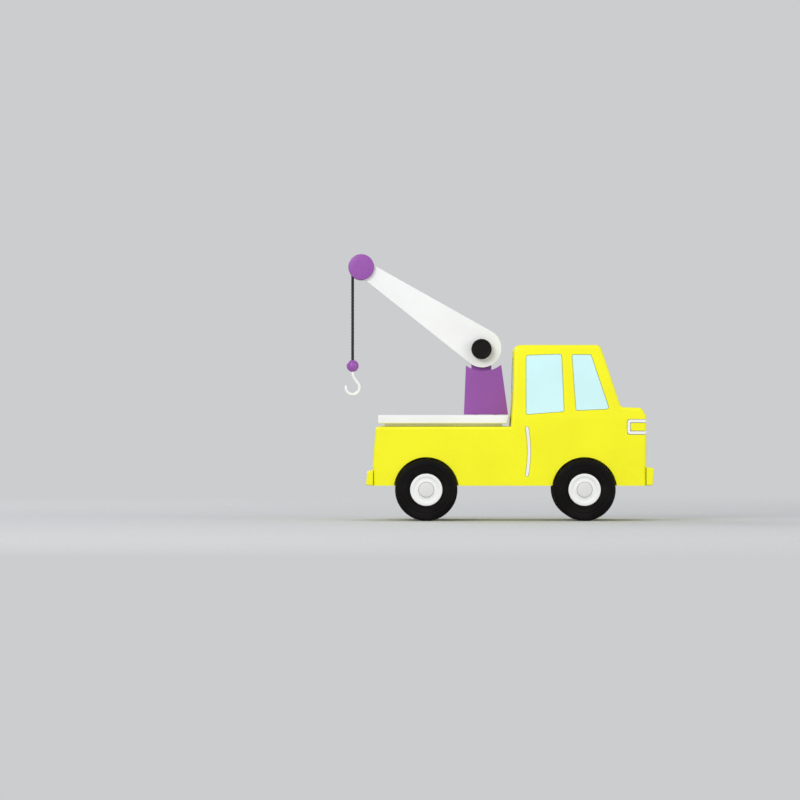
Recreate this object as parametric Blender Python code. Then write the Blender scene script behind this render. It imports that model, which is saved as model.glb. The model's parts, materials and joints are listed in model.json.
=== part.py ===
"""Toy tow truck, as the separate pieces that it comes apart into.

Metres. +X points to the front of the truck, +Y to its left side and +Z up. The origin is on the ground, in the
middle of the width, halfway between the front bumper and the back of the boom's tip.
"""

import math

import bmesh
import bpy
from mathutils import Matrix, Vector

# Clearance between neighbouring pieces
GAP = 0.0003

# Wheels
WHEEL_RADIUS = 0.0250
TYRE_WIDTH = 0.0220
TYRE_MIDDLE_Y = 0.0450
# From sidewall to tread, as radius and depth in from the sidewall
TYRE_SHOULDER = ((0.0215, 0), (0.0240, 0.0012), (WHEEL_RADIUS, 0.0040))
TYRE_BEAD_DEPTH = 0.0008
HUB_RADIUS = 0.0129
HUB_BARREL_RADIUS = 0.0120
HUB_RIM_WIDTH = 0.0020
HUB_RIM_CHAMFER = 0.0006
HUBCAP_RADIUS = 0.0061
# Heights of the hub's faces outside the tyre's sidewall
HUB_SEAT = -0.0005
HUB_RIM = 0.0007
HUB_DISH = -0.0001
HUB_POCKET = -0.0030
HUBCAP_CROWN = 0.0009
AXLE_RADIUS = 0.0015
AXLE_X = {"rear": -0.0600, "front": 0.0666}
SHAFT_CHAMFER = 0.0004

# Body: one hollow moulding, open below, whose sides lean in above the belt line
WALL = 0.0025
BODY_HALF_WIDTH = 0.0520
BODY_BOTTOM = 0.0282
BODY_EDGE_RADIUS = 0.0030
BELT_Z = 0.0820
ROOF_Z = 0.1410
ROOF_HALF_WIDTH = 0.0470
BED_TOP_Z = 0.0756
CAB_REAR = ((0.0091, 0.0968), (0.0103, ROOF_Z))
WINDSCREEN = ((0.0793, ROOF_Z), (0.0959, 0.0912))
BODY_FRONT_X = 0.1162
BUMPER_RECESS = 0.0003
# Corners of the side outline as x, z and the radius that rounds them
BODY_CORNERS = (
    (-0.1023, BODY_BOTTOM, 0),
    (-0.1023, 0.0419, 0),
    (-0.1031, 0.0427, 0),
    (-0.1006, BED_TOP_Z, 0.0032),
    (0.0076, BED_TOP_Z, 0),
    (*CAB_REAR[0], 0),
    (*CAB_REAR[1], 0.0055),
    (*WINDSCREEN[0], 0.0050),
    (*WINDSCREEN[1], 0.0032),
    (0.1125, 0.0906, 0.0040),
    (BODY_FRONT_X, 0.0840, 0.0060),
    (BODY_FRONT_X, 0.0440, 0),
    (BODY_FRONT_X - BUMPER_RECESS, 0.0434, 0),
    (BODY_FRONT_X - BUMPER_RECESS, BODY_BOTTOM, 0),
)

# Windows
DOOR_WINDOW = (
    (0.0198, 0.0850, 0.0015),
    (0.0198, 0.1328, 0.0020),
    (0.0486, 0.1338, 0.0020),
    (0.0506, 0.0874, 0.0015),
)
QUARTER_WINDOW = (
    (0.0597, 0.0882, 0.0015),
    (0.0565, 0.1334, 0.0015),
    (0.0721, 0.1334, 0.0020),
    (0.0868, 0.0894, 0.0020),
)
SIDE_GLASS_FLANGE = (
    (0.0173, 0.0826, 0.0030),
    (0.0173, 0.1359, 0.0030),
    (0.0743, 0.1359, 0.0030),
    (0.0920, 0.0826, 0.0030),
)
GLASS_RECESS = 0.0004
GLASS_FLANGE_THICKNESS = 0.0015
GLASS_FLANGE_MARGIN = 0.0030
WINDSCREEN_HALF_WIDTH = 0.0400
WINDSCREEN_SPAN = (0.0070, 0.0460)
REAR_WINDOW_HALF_WIDTH = 0.0350
REAR_WINDOW_SPAN = (0.0060, 0.0340)
FRONT_GLASS_CORNER_RADIUS = 0.0050

# Wheel housings inside the body
HOUSING_RADIUS = 0.0293
ARCH_RADIUS = 0.0261
HOUSING_INNER_Y = 0.0305
HOUSING_WALL = 0.0020

# Door line, an inlaid strip that bows forwards
DOOR_LINE_X = 0.0206
DOOR_LINE_BOW = 0.0016
DOOR_LINE_WIDTH = 0.0024
DOOR_LINE_Z = (0.0357, 0.0757)
DOOR_LINE_DEPTH = 0.0012
DOOR_LINE_PROUD = 0.0002

# Headlights, which wrap round the front corners
HEADLIGHT_REAR_X = 0.1009
HEADLIGHT_INNER_Y = 0.0340
HEADLIGHT_Z = (0.0694, 0.0812)
HEADLIGHT_FRAME = 0.0024
HEADLIGHT_REAR_RADIUS = 0.0020
HEADLIGHT_PROUD = 0.0003

# Grille and tailgate recesses
GRILLE_HALF_WIDTH = 0.0270
GRILLE_SLOTS_Z = (0.0540, 0.0590, 0.0640, 0.0690, 0.0740)
GRILLE_SLOT_HEIGHT = 0.0022
GRILLE_DEPTH = 0.0010
TAILGATE_HALF_WIDTH = 0.0380
TAILGATE_Z = (0.0500, 0.0690)

# Base plate with both bumpers
PLATE_THICKNESS = 0.0030
PLATE_NOTCH = 0.0296
PLATE_NOTCH_Y = 0.0302
TONGUE_HALF_WIDTH = 0.0380
# Corners of each bumper's side outline as x, z and radius: two against the body, then two outside
FRONT_BUMPER = (
    (BODY_FRONT_X, 0.0284, 0),
    (BODY_FRONT_X, 0.0431, 0),
    (0.1225, 0.0421, 0.0016),
    (0.1213, 0.0284, 0.0016),
)
REAR_BUMPER = (
    (-0.1026, 0.0284, 0),
    (-0.1026, 0.0404, 0),
    (-0.1072, 0.0394, 0.0016),
    (-0.1085, 0.0284, 0.0016),
)
BUMPER_HALF_WIDTH = 0.0520
BUMPER_EDGE_RADIUS = 0.0012
SADDLE_HALF_LENGTH = 0.0090
SADDLE_HALF_WIDTH = 0.0295
RETAINER_BOTTOM = 0.0200

# Screws, all driven upwards
SCREW_HEAD_RADIUS = 0.0024
SCREW_HEAD_HEIGHT = 0.0015
SCREW_RADIUS = 0.0011
SCREW_HOLE_RADIUS = 0.0014
SCREW_SINK_RADIUS = 0.0028
SCREW_SINK_DEPTH = 0.0019
BASE_SCREW_X = {"rear": -0.0920, "front": 0.1040}
BASE_SCREW_Y = 0.0220
BASE_SCREW_LENGTH = 0.0120
BOSS_RADIUS = 0.0042
# Outside of the wall that each pair of bosses reaches up to
BOSS_TOP = {"rear": BED_TOP_Z, "front": 0.0912}
BLIND_HOLE_COVER = 0.0010
RETAINER_SCREW_OFFSET = (0.0055, 0.0180)
RETAINER_SCREW_LENGTH = 0.0079
BED_SCREWS = {
    "deck_screw_rear": (-0.0880, 0.0100),
    "deck_screw_front": (-0.0500, 0.0100),
    "mast_screw_rear": (-0.0200, 0.0240),
    "mast_screw_front": (-0.0040, 0.0240),
}

# Deck: a board on a narrower plinth
DECK_X = (-0.0987, 0.0064)
DECK_FRONT_SLANT = 0.0016
DECK_Z = (0.0778, 0.0848)
DECK_HALF_WIDTH = 0.0470
DECK_EDGE_RADIUS = 0.0012
PLINTH_INSET = 0.0055

# Mast, with a cradle under the boom's heel and two ears that carry the pivot
PIVOT = Vector((-0.0154, 0, 0.1378))
MAST_HALF_WIDTH = 0.0130
MAST_FOOT_X = (-0.0295, 0.0060)
MAST_TOP = (Vector((-0.0278, 0.1246)), Vector((0.0005, 0.1252)))
CRADLE_SAG = 0.0048
EAR_Y = (0.0046, 0.0084)
EAR_RADIUS = 0.0080

# Boom, whose own frame has the pivot at the origin and the tip along -X; the heel's middle is above the pivot
BOOM_ELEVATION = math.radians(34.3)
BOOM_LENGTH = 0.1172
BOOM_HEEL_RADIUS = 0.0155
BOOM_HEEL_RISE = 0.0009
BOOM_TIP_RADIUS = 0.0063
BOOM_CHEEK_Y = (0.0090, 0.0120)
BOOM_WEB = 0.0025
BOOM_WEB_SPAN = (0.0220, 0.0880)

# Winch at the boom's pivot
WINCH_AXLE_RADIUS = 0.0020
KNOB_RADIUS = 0.0082
KNOB_Y = (0.0136, 0.0186)
WASHER_Y = (0.0123, 0.0133)
WASHER_RADIUS = 0.0060
DRUM_CORE_RADIUS = 0.0042
DRUM_FLANGE_RADIUS = 0.0090
DRUM_HALF_WIDTH = 0.0042
DRUM_FLANGE = 0.0010
KNOB_EDGE = 0.0012
SHAFT_END_COVER = 0.0015

# Sheave at the boom's tip
SHEAVE_FLANGE_RADIUS = 0.0094
SHEAVE_GROOVE_RADIUS = 0.0055
SHEAVE_HALF_WIDTH = 0.0030
SHEAVE_LIP = 0.0006
SHEAVE_BOSS_RADIUS = 0.0040
SHEAVE_CAP_RADIUS = 0.0104
SHEAVE_CAP_Y = (0.0123, 0.0160)
SHEAVE_CAP_EDGE = 0.0010

# Hoist cord and hook
CORD_RADIUS = 0.0012
CORD_ON_DRUM = 0.0062
CORD_ON_SHEAVE = 0.0070
BALL_DROP = 0.0795
BALL_RADIUS = 0.0049
HOOK_RADIUS = 0.0012
HOOK_BOWL_RADIUS = 0.0056
HOOK_BOWL_DROP = 0.0175
HOOK_SHANK = 0.0080
HOOK_ROOT = 0.0015
HOOK_NECK_BEND = 0.0003

SHARP_ANGLE = math.radians(35)

# Colour, roughness and metallic value
FINISHES = {
    "yellow_plastic": ((1.0, 0.93, 0.0), 0.35, 0),
    "white_plastic": ((0.92, 0.92, 0.90), 0.35, 0),
    "purple_plastic": ((0.33, 0.10, 0.42), 0.35, 0),
    "black_plastic": ((0.010, 0.008, 0.010), 0.40, 0),
    "window_plastic": ((0.67, 0.97, 0.98), 0.25, 0),
    "hubcap_plastic": ((0.80, 0.79, 0.79), 0.40, 0),
    "tyre_rubber": ((0.010, 0.008, 0.009), 0.70, 0),
    "steel": ((0.55, 0.55, 0.56), 0.30, 1),
    "cord": ((0.010, 0.006, 0.006), 0.80, 0),
}


# Outlines and meshes

def rounded(corners, steps=6):
    """The outline of (x, z, radius) corners, each rounded by an arc."""
    outline = []
    for index, (x, z, radius) in enumerate(corners):
        corner = Vector((x, z))
        if not radius:
            outline.append(corner)
            continue
        before = (Vector(corners[index - 1][:2]) - corner).normalized()
        after = (Vector(corners[(index + 1) % len(corners)][:2]) - corner).normalized()
        half_angle = before.angle(after) / 2
        centre = corner + (before + after).normalized() * (radius / math.sin(half_angle))
        run = radius / math.tan(half_angle)
        first, last = (corner + side * run - centre for side in (before, after))
        start = math.atan2(first.y, first.x)
        turn = (math.atan2(last.y, last.x) - start + math.pi) % math.tau - math.pi
        outline += [centre + polar(radius, start + turn * step / steps) for step in range(steps + 1)]
    return outline


def polar(radius, angle):
    return Vector((radius * math.cos(angle), radius * math.sin(angle)))


def arc(centre, radius, start, end, steps):
    """Points of an arc, with its angles in degrees from +X towards +Z."""
    angles = (math.radians(start + (end - start) * step / steps) for step in range(steps + 1))
    return [Vector(centre) + polar(radius, angle) for angle in angles]


def sagging(start, end, sag, steps):
    """Points of the arc from one point to another, to its right, that hangs lowest at its middle."""
    half = (end - start).length / 2
    radius = (half ** 2 + sag ** 2) / (2 * sag)
    way = (end - start).normalized()
    centre = (start + end) / 2 + Vector((-way.y, way.x)) * (radius - sag)
    low_angle, high_angle = (math.degrees(math.atan2(*(point - centre).yx)) for point in (start, end))
    return arc(centre, radius, low_angle, high_angle, steps)


def inset(corners, depth):
    """The corners of an outline drawn clockwise, moved inwards by a depth."""
    moved = []
    for index, (x, z, radius) in enumerate(corners):
        corner = Vector((x, z))
        into = (corner - Vector(corners[index - 1][:2])).normalized()
        out = (Vector(corners[(index + 1) % len(corners)][:2]) - corner).normalized()
        normals = [Vector((way.y, -way.x)) for way in (into, out)]
        shift = (normals[0] + normals[1]) * depth / (1 + normals[0].dot(normals[1]))
        moved.append((*(corner + shift), max(radius - depth, 0)))
    return moved


def swept(points, along):
    """A closed prism: a flat loop of points carried along a vector."""
    mesh = bmesh.new()
    face = mesh.faces.new([mesh.verts.new(point) for point in points])
    made = bmesh.ops.extrude_face_region(mesh, geom=[face])["geom"]
    far_end = [item for item in made if isinstance(item, bmesh.types.BMVert)]
    bmesh.ops.translate(mesh, verts=far_end, vec=along)
    bmesh.ops.recalc_face_normals(mesh, faces=mesh.faces)
    return mesh


def across(outline, low_y, high_y):
    """A prism across the truck from an (x, z) outline."""
    return swept([(x, low_y, z) for x, z in outline], (0, high_y - low_y, 0))


def upward(outline, low_z, high_z):
    """An upright prism from an (x, y) outline."""
    return swept([(x, y, low_z) for x, y in outline], (0, 0, high_z - low_z))


def box(low, high):
    outline = [(low[0], low[1]), (high[0], low[1]), (high[0], high[1]), (low[0], high[1])]
    return upward(outline, low[2], high[2])


def turned(profile, segments=20):
    """A solid of revolution about Y from (radius, y) points, closed on the axis or, off it, as a ring."""
    mesh = bmesh.new()
    points = [mesh.verts.new((radius, y, 0)) for radius, y in profile]
    edges = [mesh.edges.new(pair) for pair in zip(points, points[1:])]
    if profile[0][0] > 0:
        edges.append(mesh.edges.new((points[-1], points[0])))
    bmesh.ops.spin(mesh, geom=points + edges, axis=(0, 1, 0), cent=(0, 0, 0), angle=math.tau, steps=segments,
                   use_merge=True)
    bmesh.ops.remove_doubles(mesh, verts=mesh.verts, dist=1e-7)
    bmesh.ops.recalc_face_normals(mesh, faces=mesh.faces)
    return mesh


def rod(radius, low_y, high_y, segments=16, chamfer=0.0):
    if not chamfer:
        return turned([(0, low_y), (radius, low_y), (radius, high_y), (0, high_y)], segments)
    rim = radius - chamfer
    return turned([(0, low_y), (rim, low_y), (radius, low_y + chamfer), (radius, high_y - chamfer), (rim, high_y),
                   (0, high_y)], segments)


def upright(mesh):
    """Turn a mesh from the Y axis to the Z axis."""
    bmesh.ops.transform(mesh, matrix=Matrix.Rotation(math.pi / 2, 4, "X"), verts=mesh.verts)
    return mesh


def at(mesh, x, y, z):
    bmesh.ops.translate(mesh, verts=mesh.verts, vec=(x, y, z))
    return mesh


def mirrored(mesh):
    """The same mesh on the truck's other side."""
    bmesh.ops.scale(mesh, vec=(1, -1, 1), verts=mesh.verts)
    bmesh.ops.reverse_faces(mesh, faces=mesh.faces)
    return mesh


def leaned(mesh):
    """Lean a mesh's sides inwards above the belt line, as the cab's sides lean."""
    parts = [*mesh.verts, *mesh.edges, *mesh.faces]
    bmesh.ops.bisect_plane(mesh, geom=parts, plane_co=(0, 0, BELT_Z), plane_no=(0, 0, 1), dist=1e-7)
    slope = (1 - ROOF_HALF_WIDTH / BODY_HALF_WIDTH) / (ROOF_Z - BELT_Z)
    for vertex in mesh.verts:
        vertex.co.y *= 1 - slope * max(vertex.co.z - BELT_Z, 0)
    return mesh


def round_edges(mesh, chosen, radius, steps=2):
    """Round the edges that the test chosen(end, other_end) picks."""
    edges = [edge for edge in mesh.edges if chosen(*(vertex.co for vertex in edge.verts))]
    bmesh.ops.bevel(mesh, geom=edges, offset=radius, segments=steps, profile=0.5, affect="EDGES")
    return mesh


def joined(meshes):
    """Several meshes as one, for a Boolean that takes them together."""
    whole = bmesh.new()
    for mesh in meshes:
        data = bpy.data.meshes.new("joined")
        mesh.to_mesh(data)
        mesh.free()
        whole.from_mesh(data)
        bpy.data.meshes.remove(data)
    return whole


# Objects

def place(name, data, parent, location, turn=0.0):
    thing = bpy.data.objects.new(name, data)
    thing.parent = parent
    thing.location = location
    thing.rotation_euler.z = turn
    bpy.context.scene.collection.objects.link(thing)
    return thing


def piece(name, mesh, finish, parent=None, location=(0, 0, 0), turn=0.0):
    """One sub-part from a mesh, shaded smooth up to its sharp edges."""
    data = bpy.data.meshes.new(name)
    mesh.to_mesh(data)
    mesh.free()
    data.materials.append(materials[finish])
    data.shade_smooth()
    data.set_sharp_from_angle(angle=SHARP_ANGLE)
    return place(name, data, parent, location, turn)


def combine(thing, mesh, operation="DIFFERENCE", solver="EXACT"):
    """Cut a mesh from a piece, or unite the two. The mesh is in the piece's own frame."""
    data = bpy.data.meshes.new(thing.name + "_tool")
    mesh.to_mesh(data)
    mesh.free()
    tool = place(data.name, data, thing.parent, thing.location, thing.rotation_euler.z)
    tool.hide_render = True
    tool.display_type = "WIRE"
    boolean = thing.modifiers.new(operation.lower(), "BOOLEAN")
    boolean.operation = operation
    boolean.solver = solver
    boolean.object = tool


def tube(name, points, radius, finish, parent=None, location=(0, 0, 0)):
    """A cord or bent rod: a curve through the points with filled ends."""
    curve = bpy.data.curves.new(name, "CURVE")
    curve.dimensions = "3D"
    curve.bevel_depth = radius
    curve.bevel_resolution = 2
    curve.use_fill_caps = True
    spline = curve.splines.new("POLY")
    spline.points.add(len(points) - 1)
    for point, position in zip(spline.points, points):
        point.co = (*position, 1)
    curve.materials.append(materials[finish])
    return place(name, curve, parent, location)


def pivot(name, location, parent=None, tilt=0.0):
    """An empty on a joint's axis, which the moving pieces hang from."""
    empty = place(name, None, parent, location)
    empty.rotation_euler.y = tilt
    return empty


def make_material(name, colour, roughness, metallic):
    material = bpy.data.materials.new(name)
    material.use_nodes = True
    shader = material.node_tree.nodes["Principled BSDF"]
    shader.inputs["Base Color"].default_value = (*colour, 1)
    shader.inputs["Roughness"].default_value = roughness
    shader.inputs["Metallic"].default_value = metallic
    return material


def on_side(mesh, side):
    """A mesh made for the left side, or its mirror image on the right."""
    return mesh if side == "left" else mirrored(mesh)


SIDES = {"left": 1, "right": -1}


# Body shell and what sits in it

def wheel_housing(axle_x, radius, low_y, high_y):
    """A drum over a wheel, cut flat at the body's bottom."""
    low_angle = math.degrees(math.asin((BODY_BOTTOM - WHEEL_RADIUS) / radius))
    outline = arc((axle_x, WHEEL_RADIUS), radius, low_angle, 180 - low_angle, 20)
    return across(outline, low_y, high_y)


def wheel_opening(axle_x):
    """The round space that a wheel turns in, open through the side."""
    outline = arc((axle_x, WHEEL_RADIUS), ARCH_RADIUS, 0, 354, 59)
    return across(outline, HOUSING_INNER_Y + HOUSING_WALL, BODY_HALF_WIDTH + WALL)


def panel(line, near, far, span, half_width, corner_radius):
    """A slab alongside a wall's outer line: its depth below the line, its span along it and its half width."""
    start, end = (Vector(point) for point in line)
    way = (end - start).normalized()
    inwards = Vector((way.y, -way.x))
    outline = [start + way * along + inwards * depth for along, depth in
               ((span[0], near), (span[1], near), (span[1], far), (span[0], far))]
    mesh = across(outline, -half_width, half_width)

    def runs_inwards(end_a, end_b):
        edge = end_a - end_b
        return abs(edge.y) < 1e-6 and abs(abs(edge.x * inwards.x + edge.z * inwards.y) - abs(far - near)) < 1e-6

    return round_edges(mesh, runs_inwards, corner_radius, 6)


def door_line(margin, depth_from, depth_to):
    """The bowed strip on the left door, with round ends and a margin all round."""
    half = DOOR_LINE_WIDTH / 2 + margin
    low, high = DOOR_LINE_Z[0] + DOOR_LINE_WIDTH / 2, DOOR_LINE_Z[1] - DOOR_LINE_WIDTH / 2
    steps = 8
    edges = {}
    for offset in (half, -half):
        edges[offset] = []
        for step in range(steps + 1):
            share = step / steps
            bow = DOOR_LINE_BOW * (1 - (2 * share - 1) ** 2)
            edges[offset].append(Vector((DOOR_LINE_X + bow + offset, low + (high - low) * share)))
    top = arc((DOOR_LINE_X, high), half, 45, 135, 2)
    bottom = arc((DOOR_LINE_X, low), half, 225, 315, 2)
    outline = edges[half] + top + edges[-half][::-1] + bottom
    return across(outline, BODY_HALF_WIDTH - depth_to, BODY_HALF_WIDTH - depth_from)


def headlight_block(rear_x, inner_y, low_z, high_z, proud, open_front=False):
    """A block at the left front corner, with the corner rounded like the body's."""
    front, side = BODY_FRONT_X + proud, BODY_HALF_WIDTH + proud
    if open_front:
        front, side = front + WALL, side + WALL
    corner = 0 if open_front else BODY_EDGE_RADIUS + proud
    outline = rounded([(rear_x, inner_y, 0), (front, inner_y, 0), (front, side, corner), (rear_x, side, 0)])
    return upward(outline, low_z, high_z)


def headlight_rear_rounded(mesh, rear_x):
    """Round a headlight block's rear edge at the top and the bottom."""

    def is_rear_edge(a, b):
        return max(a.x, b.x) < rear_x + 1e-6 and abs(a.z - b.z) < 1e-6

    return round_edges(mesh, is_rear_edge, HEADLIGHT_REAR_RADIUS, 3)


def body_shell():
    outline = rounded(BODY_CORNERS)
    solid = across(outline, -BODY_HALF_WIDTH, BODY_HALF_WIDTH)

    def is_side_edge(a, b):
        on_side_face = abs(abs(a.y) - BODY_HALF_WIDTH) < 1e-6 and abs(a.y - b.y) < 1e-6
        return on_side_face and max(a.z, b.z) > BODY_BOTTOM + 1e-6

    shell = piece("body_shell", leaned(round_edges(solid, is_side_edge, BODY_EDGE_RADIUS, 3)), "yellow_plastic")

    hollow_corners = inset(BODY_CORNERS, WALL)
    for index in (0, -1):
        x = hollow_corners[index][0]
        hollow_corners[index] = (x, BODY_BOTTOM - WALL, 0)
    hollow = across(rounded(hollow_corners), -BODY_HALF_WIDTH + WALL, BODY_HALF_WIDTH - WALL)
    combine(shell, leaned(hollow))

    plate_top = BODY_BOTTOM + PLATE_THICKNESS
    additions = []
    for side in SIDES:
        for axle_x in AXLE_X.values():
            drum = wheel_housing(axle_x, HOUSING_RADIUS, HOUSING_INNER_Y, BODY_HALF_WIDTH - WALL / 2)
            additions.append(on_side(drum, side))
        for end, boss_top in BOSS_TOP.items():
            boss = upright(rod(BOSS_RADIUS, plate_top + GAP, boss_top - WALL / 2))
            additions.append(at(boss, BASE_SCREW_X[end], SIDES[side] * BASE_SCREW_Y, 0))
    combine(shell, joined(additions), "UNION")

    cuts = []
    for side in SIDES:
        for axle_x in AXLE_X.values():
            cuts.append(on_side(wheel_opening(axle_x), side))
        for window in (DOOR_WINDOW, QUARTER_WINDOW):
            cuts.append(on_side(across(rounded(window), ROOF_HALF_WIDTH - 2 * WALL, BODY_HALF_WIDTH + WALL), side))
        cuts.append(on_side(door_line(GAP, -WALL, DOOR_LINE_DEPTH + GAP), side))
        pocket = headlight_block(HEADLIGHT_REAR_X - GAP, HEADLIGHT_INNER_Y - GAP, HEADLIGHT_Z[0] - GAP,
                                 HEADLIGHT_Z[1] + GAP, 0, open_front=True)
        cuts.append(on_side(headlight_rear_rounded(pocket, HEADLIGHT_REAR_X - GAP), side))
        for boss_x in BASE_SCREW_X.values():
            hole = upright(rod(SCREW_HOLE_RADIUS, plate_top - WALL, plate_top + BASE_SCREW_LENGTH, 12))
            cuts.append(at(hole, boss_x, SIDES[side] * BASE_SCREW_Y, 0))
    for line, span, half_width in ((WINDSCREEN, WINDSCREEN_SPAN, WINDSCREEN_HALF_WIDTH),
                                   (CAB_REAR, REAR_WINDOW_SPAN, REAR_WINDOW_HALF_WIDTH)):
        cuts.append(leaned(panel(line, -WALL, 2 * WALL, span, half_width, FRONT_GLASS_CORNER_RADIUS)))
    for screw_x, _ in BED_SCREWS.values():
        hole = upright(rod(SCREW_HOLE_RADIUS, BED_TOP_Z - 2 * WALL, BED_TOP_Z + WALL, 12))
        cuts.append(at(hole, screw_x, 0, 0))
    for wall_x in (BODY_FRONT_X, BODY_CORNERS[0][0]):
        notch_top = plate_top + GAP
        cuts.append(box((wall_x - 2 * WALL, -TONGUE_HALF_WIDTH - GAP, BODY_BOTTOM - WALL),
                        (wall_x + 2 * WALL, TONGUE_HALF_WIDTH + GAP, notch_top)))
    for slot_z in GRILLE_SLOTS_Z:
        cuts.append(box((BODY_FRONT_X - GRILLE_DEPTH, -GRILLE_HALF_WIDTH, slot_z - GRILLE_SLOT_HEIGHT / 2),
                        (BODY_FRONT_X + WALL, GRILLE_HALF_WIDTH, slot_z + GRILLE_SLOT_HEIGHT / 2)))
    tailgate_floor = BODY_CORNERS[2][0] + 2 * GRILLE_DEPTH
    cuts.append(box((tailgate_floor - 2 * WALL, -TAILGATE_HALF_WIDTH, TAILGATE_Z[0]),
                    (tailgate_floor, TAILGATE_HALF_WIDTH, TAILGATE_Z[1])))
    # The exact solver removes the whole shell here, where both meshes are closed
    combine(shell, joined(cuts), solver="MANIFOLD")


def glazing():
    for side in SIDES:
        flange_low = BODY_HALF_WIDTH - WALL - GAP - GLASS_FLANGE_THICKNESS
        flange_high = flange_low + GLASS_FLANGE_THICKNESS
        flange = across(rounded(SIDE_GLASS_FLANGE), flange_low, flange_high)
        glass = piece(f"side_glass_{side}", on_side(leaned(flange), side), "window_plastic")
        panes = []
        for window in (DOOR_WINDOW, QUARTER_WINDOW):
            pane = across(rounded(inset(window, GAP)), flange_low + GAP, BODY_HALF_WIDTH - GLASS_RECESS)
            panes.append(on_side(leaned(pane), side))
        combine(glass, joined(panes), "UNION")

    for name, line, span, half_width in (
        ("windscreen", WINDSCREEN, WINDSCREEN_SPAN, WINDSCREEN_HALF_WIDTH),
        ("rear_window", CAB_REAR, REAR_WINDOW_SPAN, REAR_WINDOW_HALF_WIDTH),
    ):
        flange_near = WALL + GAP
        flange_far = flange_near + GLASS_FLANGE_THICKNESS
        flange_span = (span[0] - GLASS_FLANGE_MARGIN, span[1] + GLASS_FLANGE_MARGIN)
        flange = panel(line, flange_near, flange_far, flange_span, half_width + GLASS_FLANGE_MARGIN,
                       FRONT_GLASS_CORNER_RADIUS)
        glass = piece(name, leaned(flange), "window_plastic")
        pane_span = (span[0] + GAP, span[1] - GAP)
        pane = panel(line, GLASS_RECESS, flange_far - GAP, pane_span, half_width - GAP, FRONT_GLASS_CORNER_RADIUS)
        combine(glass, leaned(pane), "UNION")


def trim():
    for side in SIDES:
        strip = door_line(0, -DOOR_LINE_PROUD, DOOR_LINE_DEPTH)
        piece(f"door_line_{side}", on_side(strip, side), "white_plastic")

        housing = headlight_block(HEADLIGHT_REAR_X, HEADLIGHT_INNER_Y, *HEADLIGHT_Z, HEADLIGHT_PROUD)
        housing = headlight_rear_rounded(housing, HEADLIGHT_REAR_X)
        frame = piece(f"headlight_frame_{side}", on_side(housing, side), "white_plastic")
        lens_rear_x = HEADLIGHT_REAR_X + HEADLIGHT_FRAME
        lens_inner_y = HEADLIGHT_INNER_Y + HEADLIGHT_FRAME
        lens_z = (HEADLIGHT_Z[0] + HEADLIGHT_FRAME, HEADLIGHT_Z[1] - HEADLIGHT_FRAME)
        combine(frame, on_side(headlight_block(lens_rear_x, lens_inner_y, *lens_z, 0, open_front=True), side))
        lens = headlight_block(lens_rear_x + GAP, lens_inner_y + GAP, lens_z[0] + GAP, lens_z[1] - GAP, 0)
        piece(f"headlight_lens_{side}", on_side(lens, side), "yellow_plastic")


# Base plate, axle retainers and screws

def screw(name, x, y, head_z, length):
    """A pan-head screw pointing up, with its head's face at head_z."""
    thread_end = SCREW_HEAD_HEIGHT + length
    profile = [(0, 0), (SCREW_HEAD_RADIUS, 0), (SCREW_HEAD_RADIUS, SCREW_HEAD_HEIGHT * 0.7),
               (SCREW_RADIUS, SCREW_HEAD_HEIGHT), (SCREW_RADIUS, thread_end - SCREW_RADIUS), (0, thread_end)]
    piece(name, upright(turned(profile, 8)), "steel", location=(x, y, head_z))


def screw_hole(x, y, mouth_z, top_z):
    """A hole for a screw driven upwards, sunk for its head."""
    sink_top = mouth_z + SCREW_SINK_DEPTH
    profile = [(0, mouth_z - WALL), (SCREW_SINK_RADIUS, mouth_z - WALL), (SCREW_SINK_RADIUS, sink_top),
               (SCREW_HOLE_RADIUS, sink_top), (SCREW_HOLE_RADIUS, top_z), (0, top_z)]
    return at(upright(turned(profile, 12)), x, y, 0)


def bumper(corners):
    """A bar across the truck with rounded ends and a flat side against the body."""
    bar = across(rounded(corners), -BUMPER_HALF_WIDTH, BUMPER_HALF_WIDTH)
    body_x = corners[0][0]

    def is_outer_end_edge(a, b):
        against_body = max(abs(a.x - body_x), abs(b.x - body_x)) < 1e-6
        return abs(a.y - b.y) < 1e-6 and not against_body

    return round_edges(bar, is_outer_end_edge, BUMPER_EDGE_RADIUS, 3)


def retainer_screw_places():
    """Where each axle retainer's two screws go: the name's ending, x and y."""
    along, aside = RETAINER_SCREW_OFFSET
    for axle, axle_x in AXLE_X.items():
        for side, sign in SIDES.items():
            yield f"{axle}_{side}", axle_x + sign * along, sign * aside


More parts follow.
